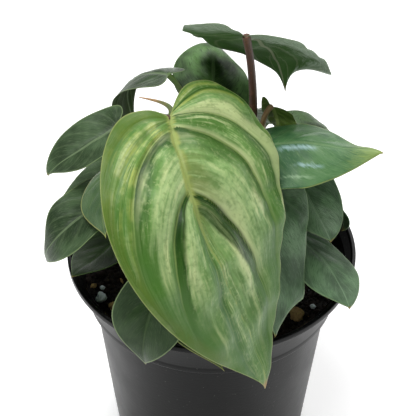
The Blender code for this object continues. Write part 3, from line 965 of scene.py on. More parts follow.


# Poses and outlines are rounded from fits made by another program, and some leaves were then
# shifted by hand. Only the last two, back_left and back_right, were not fitted at all.
LEAVES = (
    Leaf("front", "stem_front_left", 104, (-14.3, -39.75, 184.35), (19.4, -70.25, 87.35), 82,
         roll=14, arch=(32.5, 11), sweep=-6, fold=(-24.5, 29), curl=(-2.5, -41), twist=7,
         shape=Half(0.2, 0.08, 0.01, spread=1.02),
         right_shape=Half(0.21, 0.03, 0.13, shoulder=0.4, spread=0.935),
         quilt=2.7, crease=9, rib=(-0.42, 0.28),
         left_veins=FRONT_LEFT_VEINS, right_veins=FRONT_RIGHT_VEINS, finish=Finishes.STRIPED,
         stalk=Finishes.RED_STALK),
    Leaf("top", "stem_back_right", 115, (11, -4, 192.5), (28, 35.5, 140.5), 55,
         roll=9, arch=(3.5, 13), sweep=3, fold=(-18, 23), curl=(4, -25), twist=5,
         shape=Half(0.63, 0.28, 0.35, shoulder=0.46),
         right_shape=Half(0.7, 0.06, 0.35, blunt=0.2, shoulder=0.68, spread=0.8),
         bow=(5.5, 17, 0), finish=Finishes.TOP, stalk=Finishes.RED_STALK, girth=1.35),
    Leaf("upper_back", "stem_back_left", 88.5, (1.5, 12, 151.5), (0, 54, 147.5), 30.5,
         roll=12, arch=(3.5, 17.5), sweep=2.5, fold=(-15, -24), curl=(-1, 18), twist=6,
         shape=Half(0.27, 0.04, 0.22, shoulder=0.34),
         right_shape=Half(0.32, 0.13, 0.28, spread=1.01),
         finish=Finishes.DEEP),
    Leaf("upper_left", "stem_back_left", 110, (-16.5, 11, 165.5), (-29, 20, 132.5), 22.5,
         roll=-1, arch=(9.5, 22), sweep=-3, fold=(-3, -13), curl=(5, -10), twist=-8,
         shape=Half(0.52, 0.1, 0.03, blunt=0.8, shoulder=0.68),
         right_shape=Half(0.25, 0.08, 0.03, spread=0.89),
         bow=(9, 5, 0)),
    Leaf("left_upper", "stem_back_left", 105, (-34.5, -2, 152), (-59.5, -13.5, 137.5), 25,
         roll=3, arch=(1.5, 6), sweep=2.5, fold=(10, 5), curl=(6, 6), twist=-7,
         shape=Half(0.49, 0.18, 0.1),
         right_shape=Half(0.32, 0.16, 0.03, blunt=0.3, shoulder=0.44)),
    Leaf("left_back", "stem_back_left", 98, (-34.5, 9.5, 127.5), (-57.5, -2.5, 116), 22,
         roll=4, arch=(-2, 5), sweep=3, fold=(-9, -3), curl=(2, 4), twist=4,
         shape=Half(0.33, 0.15, 0.19),
         right_shape=Half(0.3, 0.15, 0.17, blunt=0.1)),
    Leaf("left_low", "stem_front_left", 88.5, (-38, -22, 136), (-60, -30.5, 111), 24.5,
         roll=-18, arch=(13, 20.5), sweep=5, fold=(17, -18), curl=(9, 17), twist=-8,
         shape=Half(0.38, 0.19, 0.13, blunt=0.1),
         right_shape=Half(0.33, 0.06, 0.28, shoulder=0.62, spread=1.02)),
    Leaf("left_inner", "stem_back_right", 116.5, (-33.5, -25, 151.5), (-36, -52.5, 142), 22.5,
         roll=32, arch=(3, -3.5), sweep=-4, fold=(0, -9), curl=(3, 2), twist=-1,
         shape=Half(0.35, 0.15, 0.2),
         right_shape=Half(0.35, 0.15, 0.19, shoulder=0.54),
         finish=Finishes.MOSS),
    Leaf("left_rim", "stem_back_left", 89.5, (-34, -4, 107.5), (-51.5, -30, 103), 24.5,
         roll=24, arch=(-9, -1.5), sweep=-2, fold=(3, -2), curl=(8, 8), twist=-17,
         shape=Half(0.37, 0.18, 0.09, blunt=0.4),
         right_shape=Half(0.38, 0.19, 0.1, blunt=0.1, shoulder=0.58, spread=1.02),
         finish=Finishes.DARK),
    Leaf("front_low", "stem_front_left", 89.5, (-14, -49, 123.5), (-23.5, -60, 88), 28.5,
         roll=-40, arch=(3.5, 11.5), sweep=-4, fold=(15, 21), curl=(4, 8), twist=27,
         shape=Half(0.39, 0.14, 0.17, blunt=0.05),
         right_shape=Half(0.33, 0.14, 0.19, blunt=0.15, shoulder=0.5),
         finish=Finishes.DIM),
    Leaf("front_under", "stem_front_right", 89.5, (-7.5, -40.5, 110.5), (5, -64, 89.5), 26.5,
         roll=-6, arch=(7, 2), sweep=-4, fold=(0, -1), curl=(3, 2), twist=-1,
         shape=Half(0.32, 0.16, 0.19),
         right_shape=Half(0.29, 0.16, 0.18, blunt=0.05),
         finish=Finishes.MOSS),
    Leaf("right_pointed", "stem_back_left", 92, (16, -15, 153), (60.5, -16, 151), 37,
         roll=-8, arch=(5, 0.5), sweep=0.5, fold=(-15, -29), curl=(11, -1), twist=-2,
         shape=Half(0.46, 0.22, 0.23, blunt=0.25, shoulder=0.58),
         right_shape=Half(0.26, 0.22, 0.06, spread=1.06),
         finish=Finishes.FRESH, quilt=0.9),
    Leaf("right_crown", "stem_back_right", 116.5, (21.5, 5.8, 155.4), (23, 14.3, 139.9), 14.5,
         roll=23, arch=(-2.5, -1.5), sweep=-3, fold=(15, 9), curl=(0, 9), twist=-14,
         shape=Half(0.38, 0.08, 0.18, blunt=0.05, shoulder=0.38),
         right_shape=Half(0.23, 0.02, 0.2, blunt=0.05, shoulder=0.44, spread=1.19),
         finish=Finishes.CROWN, stalk=Finishes.TAN_STALK, bow=(0, 3, 0)),
    Leaf("right_back", "stem_back_right", 99, (29.5, 15.8, 139.1), (40, 38.3, 115.6), 24.5,
         roll=31, arch=(1.5, 17), sweep=-5, fold=(-12, -19), curl=(4, 2), twist=5,
         shape=Half(0.34, 0.18, 0.18, shoulder=0.5),
         right_shape=Half(0.36, 0.19, 0.17),
         finish=Finishes.DEEP),
    Leaf("right_inner", "stem_front_left", 88.5, (21, -23.5, 139), (22.5, -62, 105), 40.5,
         roll=-4, arch=(10, -7.5), sweep=-2, fold=(-34, 0), curl=(-3, 4), twist=-11,
         shape=Half(0.69, 0.18, 0.35, blunt=0.8, shoulder=0.6),
         right_shape=Half(0.62, 0.17, 0.2),
         finish=Finishes.HERRINGBONE),
    Leaf("right_mid", "stem_front_right", 99, (29, -4, 136), (43, -28.5, 120), 28.5,
         roll=-14, arch=(-4.5, -4), sweep=3, fold=(3, -13), curl=(1, 2), twist=3,
         shape=Half(0.24, 0.15, 0.09, blunt=0.65),
         right_shape=Half(0.28, 0.15, 0.06),
         finish=Finishes.HERRINGBONE),
    Leaf("right_low", "stem_front_right", 93, (28.5, -14, 114.5), (49.5, -47.5, 105.5), 26.5,
         roll=-16, arch=(-4, -5), sweep=7.5, fold=(-18, -5), curl=(9, -3), twist=9,
         shape=Half(0.44, 0.15, 0.07, blunt=0.35),
         right_shape=Half(0.48, 0.15, 0.05, spread=0.96),
         finish=Finishes.HERRINGBONE),
    Leaf("right_rear", "stem_back_right", 93, (36.5, 12.8, 118.8), (50, -0.2, 100.3), 24.5,
         roll=-22, arch=(-10.5, 16), sweep=-2.5, fold=(3, 29), curl=(1, -5), twist=-15,
         shape=Half(0.25, 0.17, 0.31),
         right_shape=Half(0.26, 0.17, 0.26, blunt=0.8, spread=1.1),
         finish=Finishes.HERRINGBONE),
    Leaf("back_left", "stem_back_left", 91, (-17, 30, 128), (-33, 60, 104), 34,
         roll=6, arch=(6, 8), sweep=2, fold=(-6, -6), curl=(-8, -8), twist=4,
         shape=Half(0.34, 0.17, 0.2)),
    Leaf("back_right", "stem_back_right", 97, (13, 36, 130), (22, 64, 100), 34,
         roll=-6, arch=(6, 8), sweep=-2, fold=(-6, -6), curl=(-8, -8), twist=-4,
         shape=Half(0.34, 0.17, 0.2)),
)


class Outline:
    """Margin of a blade laid flat: x along the midrib from the junction, y away from it."""

    def __init__(self, leaf: Leaf, side: int) -> None:
        """Trace one half from the tip round the lobe to the junction.

        Args:
            leaf: Leaf that the blade belongs to.
            side: 1 for the left half and -1 for the right one.
        """
        half = leaf.right_shape if side < 0 and leaf.right_shape else leaf.shape
        widest, lobe, shoulder = half.widest, half.lobe, half.shoulder
        t = np.linspace(0, 1, 40)
        tip_arc = cubic([(1, 0), (1 - half.point, 0.02 + half.blunt), (widest + 0.42 * (1 - widest), 1),
                         (widest, 1)], t)
        side_arc = cubic([(widest, 1), (widest - 0.55 * (widest + lobe), 1),
                          (-lobe, shoulder + 0.3), (-lobe, shoulder)], t)
        lobe_arc = cubic([(-lobe, shoulder), (-lobe, shoulder - 0.3), (-0.25 * lobe, 0.1),
                          (0, 0)], t)
        curve = np.vstack([tip_arc, side_arc[1:], lobe_arc[1:]])
        self.curve = curve * (leaf.length, half.spread * leaf.width / 2)
        steps = np.hypot(*np.diff(self.curve, axis=0).T)
        self.along = np.concatenate([[0], np.cumsum(steps)]) / steps.sum()

    def at(self, share: np.ndarray) -> np.ndarray:
        """Points of the margin at shares of its length from the tip."""
        return np.stack([np.interp(share, self.along, self.curve[:, 0]),
                         np.interp(share, self.along, self.curve[:, 1])], -1)


def nearest(points: np.ndarray, line: np.ndarray) -> tuple[np.ndarray, np.ndarray]:
    """Distance of points to a line of segments, and on which side of it they lie.

    Args:
        points: Points as rows of x and y.
        line: Corners of the line, in order.

    Returns:
        Distances, and +1 or -1 for points left or right of the line.
    """
    best = np.full(len(points), np.inf)
    side = np.ones(len(points))
    for start, end in zip(line[:-1], line[1:]):
        step = end - start
        reach = np.clip((points - start) @ step / max(step @ step, 1e-12), 0, 1)
        away = points - start - reach[:, None] * step
        gap = np.hypot(away[:, 0], away[:, 1])
        closer = gap < best - 1e-9
        turn = step[0] * (points[:, 1] - start[1]) - step[1] * (points[:, 0] - start[0])
        best = np.where(closer, gap, best)
        side = np.where(closer, np.where(turn >= 0, 1.0, -1.0), side)
    return best, side


class VeinMap:
    """Where each point of a flat blade lies among the veins.

    band counts the veins from the midrib and is negative on the right half. vein is the
    distance to the nearest side vein, rib to the midrib and edge to the margin; room is the
    width between the two neighbouring veins. reach grows from 0 at the junction to 1 at the
    margin.
    """

    def __init__(self, leaf: Leaf, flat: np.ndarray) -> None:
        """Measure every point of a flat blade."""
        x, y = flat[:, 0], flat[:, 1]
        middle = self.rib_line(leaf, x / leaf.length)
        self.band = np.zeros(len(flat))
        self.vein = np.full(len(flat), 99.0)
        self.room = np.ones(len(flat))
        self.rib = np.abs(y - middle)
        for side, veins in ((1, leaf.left_veins), (-1, leaf.right_veins)):
            outline = Outline(leaf, side)
            mine = side * (y - middle) >= 0
            points = np.stack([x, side * (y - middle)], -1)[mine]
            lines = [self.line(leaf, outline, vein, side) for vein in veins]
            lines.append(outline.at(np.linspace(0.99, 0.82, 14)))
            gaps = [points[:, 1]]
            for line in lines:
                distance, sign = nearest(points, line)
                gaps.append(distance * sign)
            gaps = np.array(gaps)
            passed = np.minimum.accumulate(gaps > 0, axis=0)
            index = np.clip(passed.sum(0) - 1, 0, len(lines) - 1)
            pick = np.arange(len(points))
            before, after = np.abs(gaps[index, pick]), np.abs(gaps[index + 1, pick])
            room = before + after
            self.band[mine] = side * (index + before / np.maximum(room, 1e-6))
            self.room[mine] = room
            self.vein[mine] = np.abs(gaps[1:-1]).min(0)
        rim = np.vstack([Outline(leaf, 1).curve, Outline(leaf, -1).curve[::-1] * (1, -1)])
        self.edge, _ = nearest(flat, rim)
        self.run = np.hypot(x, y)
        self.ahead = x / leaf.length
        self.reach = self.run / np.maximum(self.run + self.edge, 1e-6)

    @staticmethod
    def rib_line(leaf: Leaf, ahead: np.ndarray) -> np.ndarray:
        """Distance of the midrib from the blade's axis along the blade."""
        t = np.clip(ahead, 0, 1)
        near, far = leaf.rib
        return 1.5 * leaf.width * t * (1 - t) * ((1 - t) * near + t * far)

    @classmethod
    def line(cls, leaf: Leaf, outline: Outline, vein: Vein, side: int) -> np.ndarray:
        """Course of one side vein, with y measured from the midrib."""
        start = np.array([vein.start * leaf.length, 0.0])
        end, ahead = outline.at(np.array([vein.end])), outline.at(np.array([vein.end - 0.03]))
        end, ahead = end[0], ahead[0]
        shift = cls.rib_line(leaf, end[0] / leaf.length)
        end = np.array([end[0], end[1] - side * shift]) * (0.985, 0.97)
        way = (ahead - outline.at(np.array([vein.end]))[0])
        way /= np.hypot(*way)
        reach = np.hypot(*(end - start))
        angle = math.radians(vein.leave)
        leave = np.array([math.cos(angle), math.sin(angle)])
        return cubic([start, start + leave * reach * vein.early, end - way * reach * vein.late, end],
                     np.linspace(0, 1, 36))


class Blade:
    """Closed sheet of one leaf, with its veins pressed in above and raised below."""

    SINUS = 0.97
    THICKNESS = 0.42
    GROOVE, RIDGE, VEIN_RIDGE = 0.5, 0.75, 0.22
    WAVES = ((26, 0.30), (15, 0.16), (9, 0.07))

    def __init__(self, leaf: Leaf, rows: int, columns: int) -> None:
        """Lay the blade out flat and map its veins.

        Args:
            leaf: Shape and pose.
            rows: Points along the margin of one half.
            columns: Points from the junction to the margin.
        """
        self.leaf, self.rows, self.columns = leaf, rows, columns
        self.flat = np.vstack([self.half(1)[::-1], self.half(-1)[1:]])
        self.veins = VeinMap(leaf, self.flat.reshape(-1, 2))
        self.shape = self.flat.shape[:2]

    def half(self, side: int) -> np.ndarray:
        """Flat half blade: each row curves from the junction to the margin."""
        share = np.linspace(0, self.SINUS, self.rows)
        margin = Outline(self.leaf, side).at(share)
        angle = np.arctan2(margin[:, 1], margin[:, 0])
        reach = np.hypot(margin[:, 0], margin[:, 1])
        bow = math.radians(26) * np.sin(math.pi * np.minimum(1, share / 0.72) ** 0.8)
        bow[share > 0.72] = 0
        middle = 0.55 * reach[:, None] * np.stack([np.cos(angle + bow), np.sin(angle + bow)], -1)
        t = np.linspace(0, 1, self.columns)[None, :, None]
        return (2 * (1 - t) * t * middle[:, None] + t * t * margin[:, None]) * (1, side)

    def section(self) -> tuple[np.ndarray, np.ndarray, np.ndarray, np.ndarray]:
        """Cross-section of the blade: y, and the way out, the lift and the lean there."""
        leaf = self.leaf
        half = leaf.width / 2
        y = np.linspace(-half * 1.02, half * 1.02, 801)
        step = y[1] - y[0]
        left = np.radians(leaf.fold[0]) + np.radians(leaf.curl[0]) / half * y
        right = -(np.radians(leaf.fold[1]) - np.radians(leaf.curl[1]) / half * y)
        share = 0.5 + 0.5 * np.tanh(y / (0.45 * leaf.crease))
        slope = right * (1 - share) + left * share
        out = np.cumsum(np.cos(slope)) * step
        lift = np.cumsum(np.sin(slope)) * step
        middle = len(y) // 2
        return y, out - out[middle], lift - lift[middle], slope

    def bend(self, height: np.ndarray) -> np.ndarray:
        """Points of the posed blade at heights above its middle surface."""
        leaf = self.leaf
        base, tip = np.array(leaf.junction, float), np.array(leaf.tip, float)
        length = leaf.length
        ahead = (tip - base) / length
        up = np.array([0, 0, 1.0]) - ahead * ahead[2]
        up = turned(up / np.linalg.norm(up), ahead, math.radians(leaf.roll))
        left = np.cross(up, ahead)
        x, y = self.flat[..., 0] / length, self.flat[..., 1]
        a0, a1 = leaf.arch
        rise = np.where(x >= 0, 3 * (1 - x) ** 2 * x * a0 + 3 * (1 - x) * x ** 2 * a1,
                        3 * x * a0 + (3 * a1 - 6 * a0) * x * x)
        slope = np.where(x >= 0, 3 * a0 * ((1 - x) ** 2 - 2 * (1 - x) * x)
                         + 3 * a1 * (2 * (1 - x) * x - x ** 2),
                         3 * a0 + 2 * (3 * a1 - 6 * a0) * x) / length
        midrib = (base + ahead * (x * length)[..., None] + up * rise[..., None]
                  + left * (4 * leaf.sweep * x * (1 - x))[..., None])
        along = ahead + up * slope[..., None]
        along /= np.linalg.norm(along, axis=-1, keepdims=True)
        normal = np.cross(along, left)
        turn = np.radians(leaf.twist) * x[..., None]
        across = left * np.cos(turn) + normal * np.sin(turn)
        normal = normal * np.cos(turn) - left * np.sin(turn)
        ys, outs, lifts, leans = self.section()
        out, lift = np.interp(y, ys, outs), np.interp(y, ys, lifts)
        lean = np.interp(y, ys, leans)[..., None]
        facing = normal * np.cos(lean) - across * np.sin(lean)
        return midrib + across * out[..., None] + normal * lift[..., None] + facing * height[..., None]

    def relief(self) -> tuple[np.ndarray, np.ndarray]:
        """Heights of the upper and lower faces above the middle surface."""
        leaf, veins = self.leaf, self.veins
        phase = np.abs(veins.band) % 1.0
        swell = 1 - np.abs(2 * phase - 1) ** 2.2
        room = np.minimum(1, veins.room / 9.0)
        calm = np.clip((1 - veins.reach) / 0.4, 0, 1) ** 1.3
        calm *= 0.08 + 0.92 * np.clip(veins.rib / (0.09 * leaf.width), 0, 1)
        quilt = leaf.quilt * swell * room * (0.06 + 0.94 * calm)
        girth = 0.35 + 0.65 * np.clip(1 - veins.ahead, 0, 1)
        groove = self.GROOVE * girth * np.exp(-(veins.rib / (1.1 * girth)) ** 2)
        wave = self.wave()
        thin = 0.5 * self.THICKNESS * (0.45 + 0.55 * np.clip(veins.edge / 1.5, 0, 1))
        top = quilt - groove * min(1.0, 0.4 + leaf.quilt) + wave + thin
        ridge = self.RIDGE * girth * np.exp(-(veins.rib / (0.75 * girth)) ** 2)
        rib = self.VEIN_RIDGE * np.exp(-(veins.vein / 0.5) ** 2) * np.clip(veins.edge / 3, 0, 1)
        low = quilt * 0.9 + wave - thin - ridge - rib
        return top.reshape(self.shape), low.reshape(self.shape)

    def wave(self) -> np.ndarray:
        """Slow waves that keep the sheet from looking moulded."""
        rng = np.random.default_rng(len(self.leaf.name) * 7 + int(self.leaf.width * 10))
        flat = self.flat.reshape(-1, 2)
        total = np.zeros(len(flat))
        for size, depth in self.WAVES:
            way = rng.uniform(0, 2 * math.pi, 3)
            for angle in way:
                phase = (flat[:, 0] * math.cos(angle) + flat[:, 1] * math.sin(angle)) / size
                total += depth * np.sin(2 * math.pi * phase + rng.uniform(0, 6.3))
        return total * min(1.0, self.leaf.width / 60) * np.clip(self.veins.run / 8, 0, 1)

    def build(self, material: Material) -> Piece:
        """Make the leaf's piece.

        Args:
            material: Finish of both faces.

        Returns:
            The piece, with its vein map stored at its vertices.
        """
        top, low = self.relief()
        veins, steps = self.shape[0], self.columns - 1
        faces_of = []
        corner = 1 + veins * steps
        for vein in range(veins - 1):
            near, far = 1 + vein * steps, 1 + (vein + 1) * steps
            faces_of.append((0, near, far))
            faces_of.extend((near + s, near + s + 1, far + s + 1, far + s) for s in range(steps - 1))
        faces = [tuple(reversed([corner + v for v in face])) for face in faces_of] + faces_of
        loop = ([0] + list(range(1, steps + 1))
                + [1 + vein * steps + steps - 1 for vein in range(1, veins)]
                + [1 + (veins - 1) * steps + s for s in range(steps - 2, -1, -1)])
        for here, there in zip(loop, loop[1:] + loop[:1]):
            faces.append((there, here, corner + here, corner + there))
        sheets = [self.listed(self.bend(height)) for height in (top, low)]
        mesh = mesh_from(f"{self.leaf.name}_leaf", np.vstack(sheets), faces)
        fix_normals(mesh)
        for name in ("band", "vein", "rib", "edge", "run", "ahead"):
            values = self.listed(getattr(self.veins, name).reshape(self.shape))
            note(mesh, name, np.concatenate([values, values]))
        note(mesh, "under", np.repeat([0.0, 1.0], corner))
        self.unwrap(mesh)
        smooth(mesh)
        return link(f"{self.leaf.name}_leaf_look", mesh, material)

    def listed(self, grid: np.ndarray) -> np.ndarray:
        """Grid as a list, with the junction that all rows share kept once."""
        rest = grid[:, 1:]
        if grid.ndim == 3:
            return np.vstack([grid[:1, 0], rest.reshape(-1, grid.shape[2])])
        return np.concatenate([grid[:1, 0], rest.ravel()])

    def unwrap(self, mesh: Mesh) -> None:
        """Lay the two faces side by side in the UV map."""
        flat = self.listed(self.flat)
        size = max(self.leaf.length * 1.3, self.leaf.width * 1.05)
        place = flat / size * 0.48 + (0.1, 0.25)
        both = np.vstack([place, place + (0.0, 0.5)])
        index = np.empty(len(mesh.loops), int)
        mesh.loops.foreach_get("vertex_index", index)
        layer = mesh.uv_layers.new(name="blade")
        layer.data.foreach_set("uv", both[index].astype(np.float32).ravel())


def fix_normals(mesh: Mesh) -> None:
    """Turn all faces of a closed mesh outward."""
    work = bmesh.new()
    work.from_mesh(mesh)
    bmesh.ops.recalc_face_normals(work, faces=work.faces)
    work.to_mesh(mesh)
    work.free()


class Stalk:
    """Leaf stalk from inside its stem to the blade's junction."""

    SLOPE = 50.0
    RADIUS = 1.25
    THINNING = 0.22
    FLARE, FLARE_LENGTH = 0.35, 0.05
    COLLAR, COLLAR_AT, COLLAR_LENGTH = 0.12, 0.97, 0.03
    POINTS, SIDES = 41, 16

    def __init__(self, leaf: Leaf, blade: Blade) -> None:
        """Find the stalk's line."""
        stem = next(s for s in STEMS if s.name == leaf.stem)
        node = stem.at(leaf.node_z)
        zero = np.zeros(blade.shape)
        normal = blade.bend(zero + 1.0)[0, 0] - blade.bend(zero)[0, 0]
        end = blade.bend(zero)[0, 0] - normal * 0.25
        reach = np.linalg.norm(end - node) * 0.3
        arrive = normal * reach - np.array(leaf.bow, float)
        outward = (end - node) * (1, 1, 0)
        outward /= np.linalg.norm(outward)
        slope = math.radians(self.SLOPE)
        leave = outward * math.cos(slope) + np.array([0, 0, math.sin(slope)])
        start = node + outward * stem.radius * 0.4
        controls = [start, start + leave * reach * 4 / 3 + np.array(leaf.bow, float),
                    end - arrive, end]
        self.leaf = leaf
        self.path = cubic(controls, np.linspace(0, 1, self.POINTS))

    def build(self, rods: RodMaker, material: Material) -> Piece:
        """Make the stalk, flared at its foot and slim at its top."""
        t = np.linspace(0, 1, len(self.path))
        flare = self.FLARE * np.exp(-t / self.FLARE_LENGTH)
        collar = self.COLLAR * np.exp(-((t - self.COLLAR_AT) / self.COLLAR_LENGTH) ** 2)
        radii = self.RADIUS * self.leaf.girth * (1.0 - self.THINNING * t + flare + collar)
        return rods.make(f"{self.leaf.name}_petiole_look", self.path, radii, self.SIDES, material)


class Foliage:
    """All stems, stalks and blades."""

    FRONT_GRID = (140, 100)
    PLAIN_GRID = (52, 30)
    KNOTS = (0.22, 0.5, 0.76)
    SHEATH = ((-14.1, -35.0, 180.5), (-12.6, -32.5, 184.0), (-17.5, -29.0, 182.5),
              (-25.2, -27.0, 182.8))

    def __init__(self, finishes: Finishes, rods: RodMaker) -> None:
        """Keep the finishes and the rod maker."""
        self.finishes, self.rods = finishes, rods

    def build(self) -> None:
        """Make every piece that grows."""
        for stem in STEMS:
            self.stem(stem)
        for leaf in LEAVES:
            self.leaf(leaf)
        self.sheath()

    def stem(self, stem: Stem) -> None:
        """Stem with swollen nodes, tapering a little to its end."""
        heights = np.linspace(stem.base_z - 3, stem.top_z, 40)
        path = np.array([stem.at(z) for z in heights])
        t = np.linspace(0, 1, len(path))
        knots = sum(0.22 * np.exp(-((t - k) / 0.03) ** 2) for k in self.KNOTS)
        cap = np.sqrt(np.clip((1 - t) / 0.06, 0.02, 1))
        radii = (stem.radius - 0.3 * t) * (1 + knots * 0.5) * cap
        piece = self.rods.make(f"{stem.name}_look", path, radii, 20, self.finishes.get(Finishes.STEM))
        dress(piece, stem.name)

    def leaf(self, leaf: Leaf) -> None:
        """Blade and stalk of one leaf."""
        front = leaf.finish is Finishes.STRIPED
        blade = Blade(leaf, *(self.FRONT_GRID if front else self.PLAIN_GRID))
        piece = blade.build(self.finishes.get(leaf.finish))
        dress(piece, f"{leaf.name}_leaf")
        stalk = Stalk(leaf, blade).build(self.rods, self.finishes.get(leaf.stalk))
        dress(stalk, f"{leaf.name}_petiole")

    def sheath(self) -> None:
        """Dried bud sheath beside the top of the front leaf's stalk."""
        t = np.linspace(0, 1, 33)
        path = cubic(self.SHEATH, t)
        radii = 1.05 * (1 - t) ** 0.7 * (1 - 0.25 * t) + 0.12
        piece = self.rods.make("bud_sheath_look", path, radii, 14, self.finishes.get(Finishes.SHEATH))
        dress(piece, "bud_sheath")


# ---------------------------------------------------------------------------
# Pot and potting mix
# ---------------------------------------------------------------------------

@dataclass(frozen=True)
class Pot:
    """Nursery pot: tapered body, stepped band, thin lip and a drained foot."""

    height: float = 92.0
    foot: float = 39.0
    body_top: float = 46.2
    band: float = 20.5
    band_low: float = 49.0
    band_top: float = 53.2
    lip: float = 56.0
    lip_height: float = 2.6
    wall: float = 1.4
    holes: int = 8
    hole: float = 4.5
    hole_ring: float = 29.0
    steps: int = 192

    def profile(self) -> list[Pair]:
        """Section of the wall from the inside of the foot over the lip to its underside."""
        inner = self.lip - 1.6
        band_z = self.height - self.band
        lip_z = self.height - self.lip_height
        w = self.wall
        return [
            (0, w), (self.foot - w, w), (self.body_top - w, band_z + w),
            (self.band_low - w, band_z + w), (self.band_top - w, lip_z - 0.8),
            (inner, lip_z + 1.2), (inner, self.height), (self.lip, self.height),
            (self.lip, lip_z), (self.band_top, lip_z - 0.3), (self.band_low + 0.3, band_z + 3.6),
            (self.band_low + 0.25, band_z + 2.7), (self.band_low, band_z + 0.7),
            (self.body_top, band_z - 1.3),
            (self.foot + 0.4, 3.0), (self.foot, 0.0), (0, 0)]

    def rounded(self, radius: float = 0.45) -> list[Pair]:
        """Profile with its corners turned into short arcs."""
        corners = [np.array(p, float) for p in self.profile()]
        points = [corners[0]]
        for before, here, after in zip(corners, corners[1:], corners[2:]):
            back, on = before - here, after - here
            cut = min(radius, 0.45 * np.hypot(*back), 0.45 * np.hypot(*on))
            first, last = here + back / np.hypot(*back) * cut, here + on / np.hypot(*on) * cut
            for t in (0, 0.33, 0.67, 1):
                points.append((1 - t) ** 2 * first + 2 * (1 - t) * t * here + t * t * last)
        points.append(corners[-1])
        return [tuple(p) for p in points]

    def build(self, material: Material) -> Piece:
        """Turn the wall and drill its foot."""
        pot = link("pot_blank", turned_mesh("pot_blank", self.rounded(), self.steps))
        drill = bmesh.new()
        for index in range(self.holes):
            angle = 2 * math.pi * index / self.holes
            made = bmesh.ops.create_cone(drill, cap_ends=True, segments=32, radius1=self.hole * MM,
                                         radius2=self.hole * MM, depth=8 * MM)
            centre = Vector((math.cos(angle), math.sin(angle), 0)) * self.hole_ring * MM
            bmesh.ops.translate(drill, verts=made["verts"], vec=centre)
        cutter = link("drill", mesh_of(drill, "drill"))
        cut = pot.modifiers.new("Drainage", "BOOLEAN")
        cut.object = cutter
        mesh = baked(pot)
        bpy.data.objects.remove(cutter, do_unlink=True)
        smooth(mesh, 35)
        return dress(link("pot_look", mesh, material), "pot")

    def inner(self, z: float) -> float:
        """Radius of the inner wall at a height."""
        band_z = self.height - self.band
        if z <= band_z + self.wall:
            return self.foot - self.wall + (self.body_top - self.foot) * (z - self.wall) / band_z
        share = (z - band_z - self.wall) / (self.band - self.lip_height - 0.8 - self.wall)
        return self.band_low - self.wall + (self.band_top - self.band_low) * share


def turned_mesh(name: str, profile: list[Pair], steps: int) -> Mesh:
    """Solid of revolution about Z from (radius, height) points run outward and down."""
    edges = [(i, i + 1) for i in range(len(profile) - 1)]
    mesh = mesh_from(name, np.array([(r, 0, z) for r, z in profile]), [], edges)
    piece = link(name, mesh)
    screw = piece.modifiers.new("Turn", "SCREW")
    screw.steps = screw.render_steps = steps
    screw.use_merge_vertices = True
    screw.merge_threshold = 0.00001
    screw.use_smooth_shade = True
    return baked(piece)


@dataclass(frozen=True)
class Litter:
    """One kind of crumb strewn over the mix: how many, how large, how flat and its finish."""

    name: str
    per_area: float
    smallest: float
    largest: float
    flat: float
    level: int
    finish: CrumbFinish
    seed: int


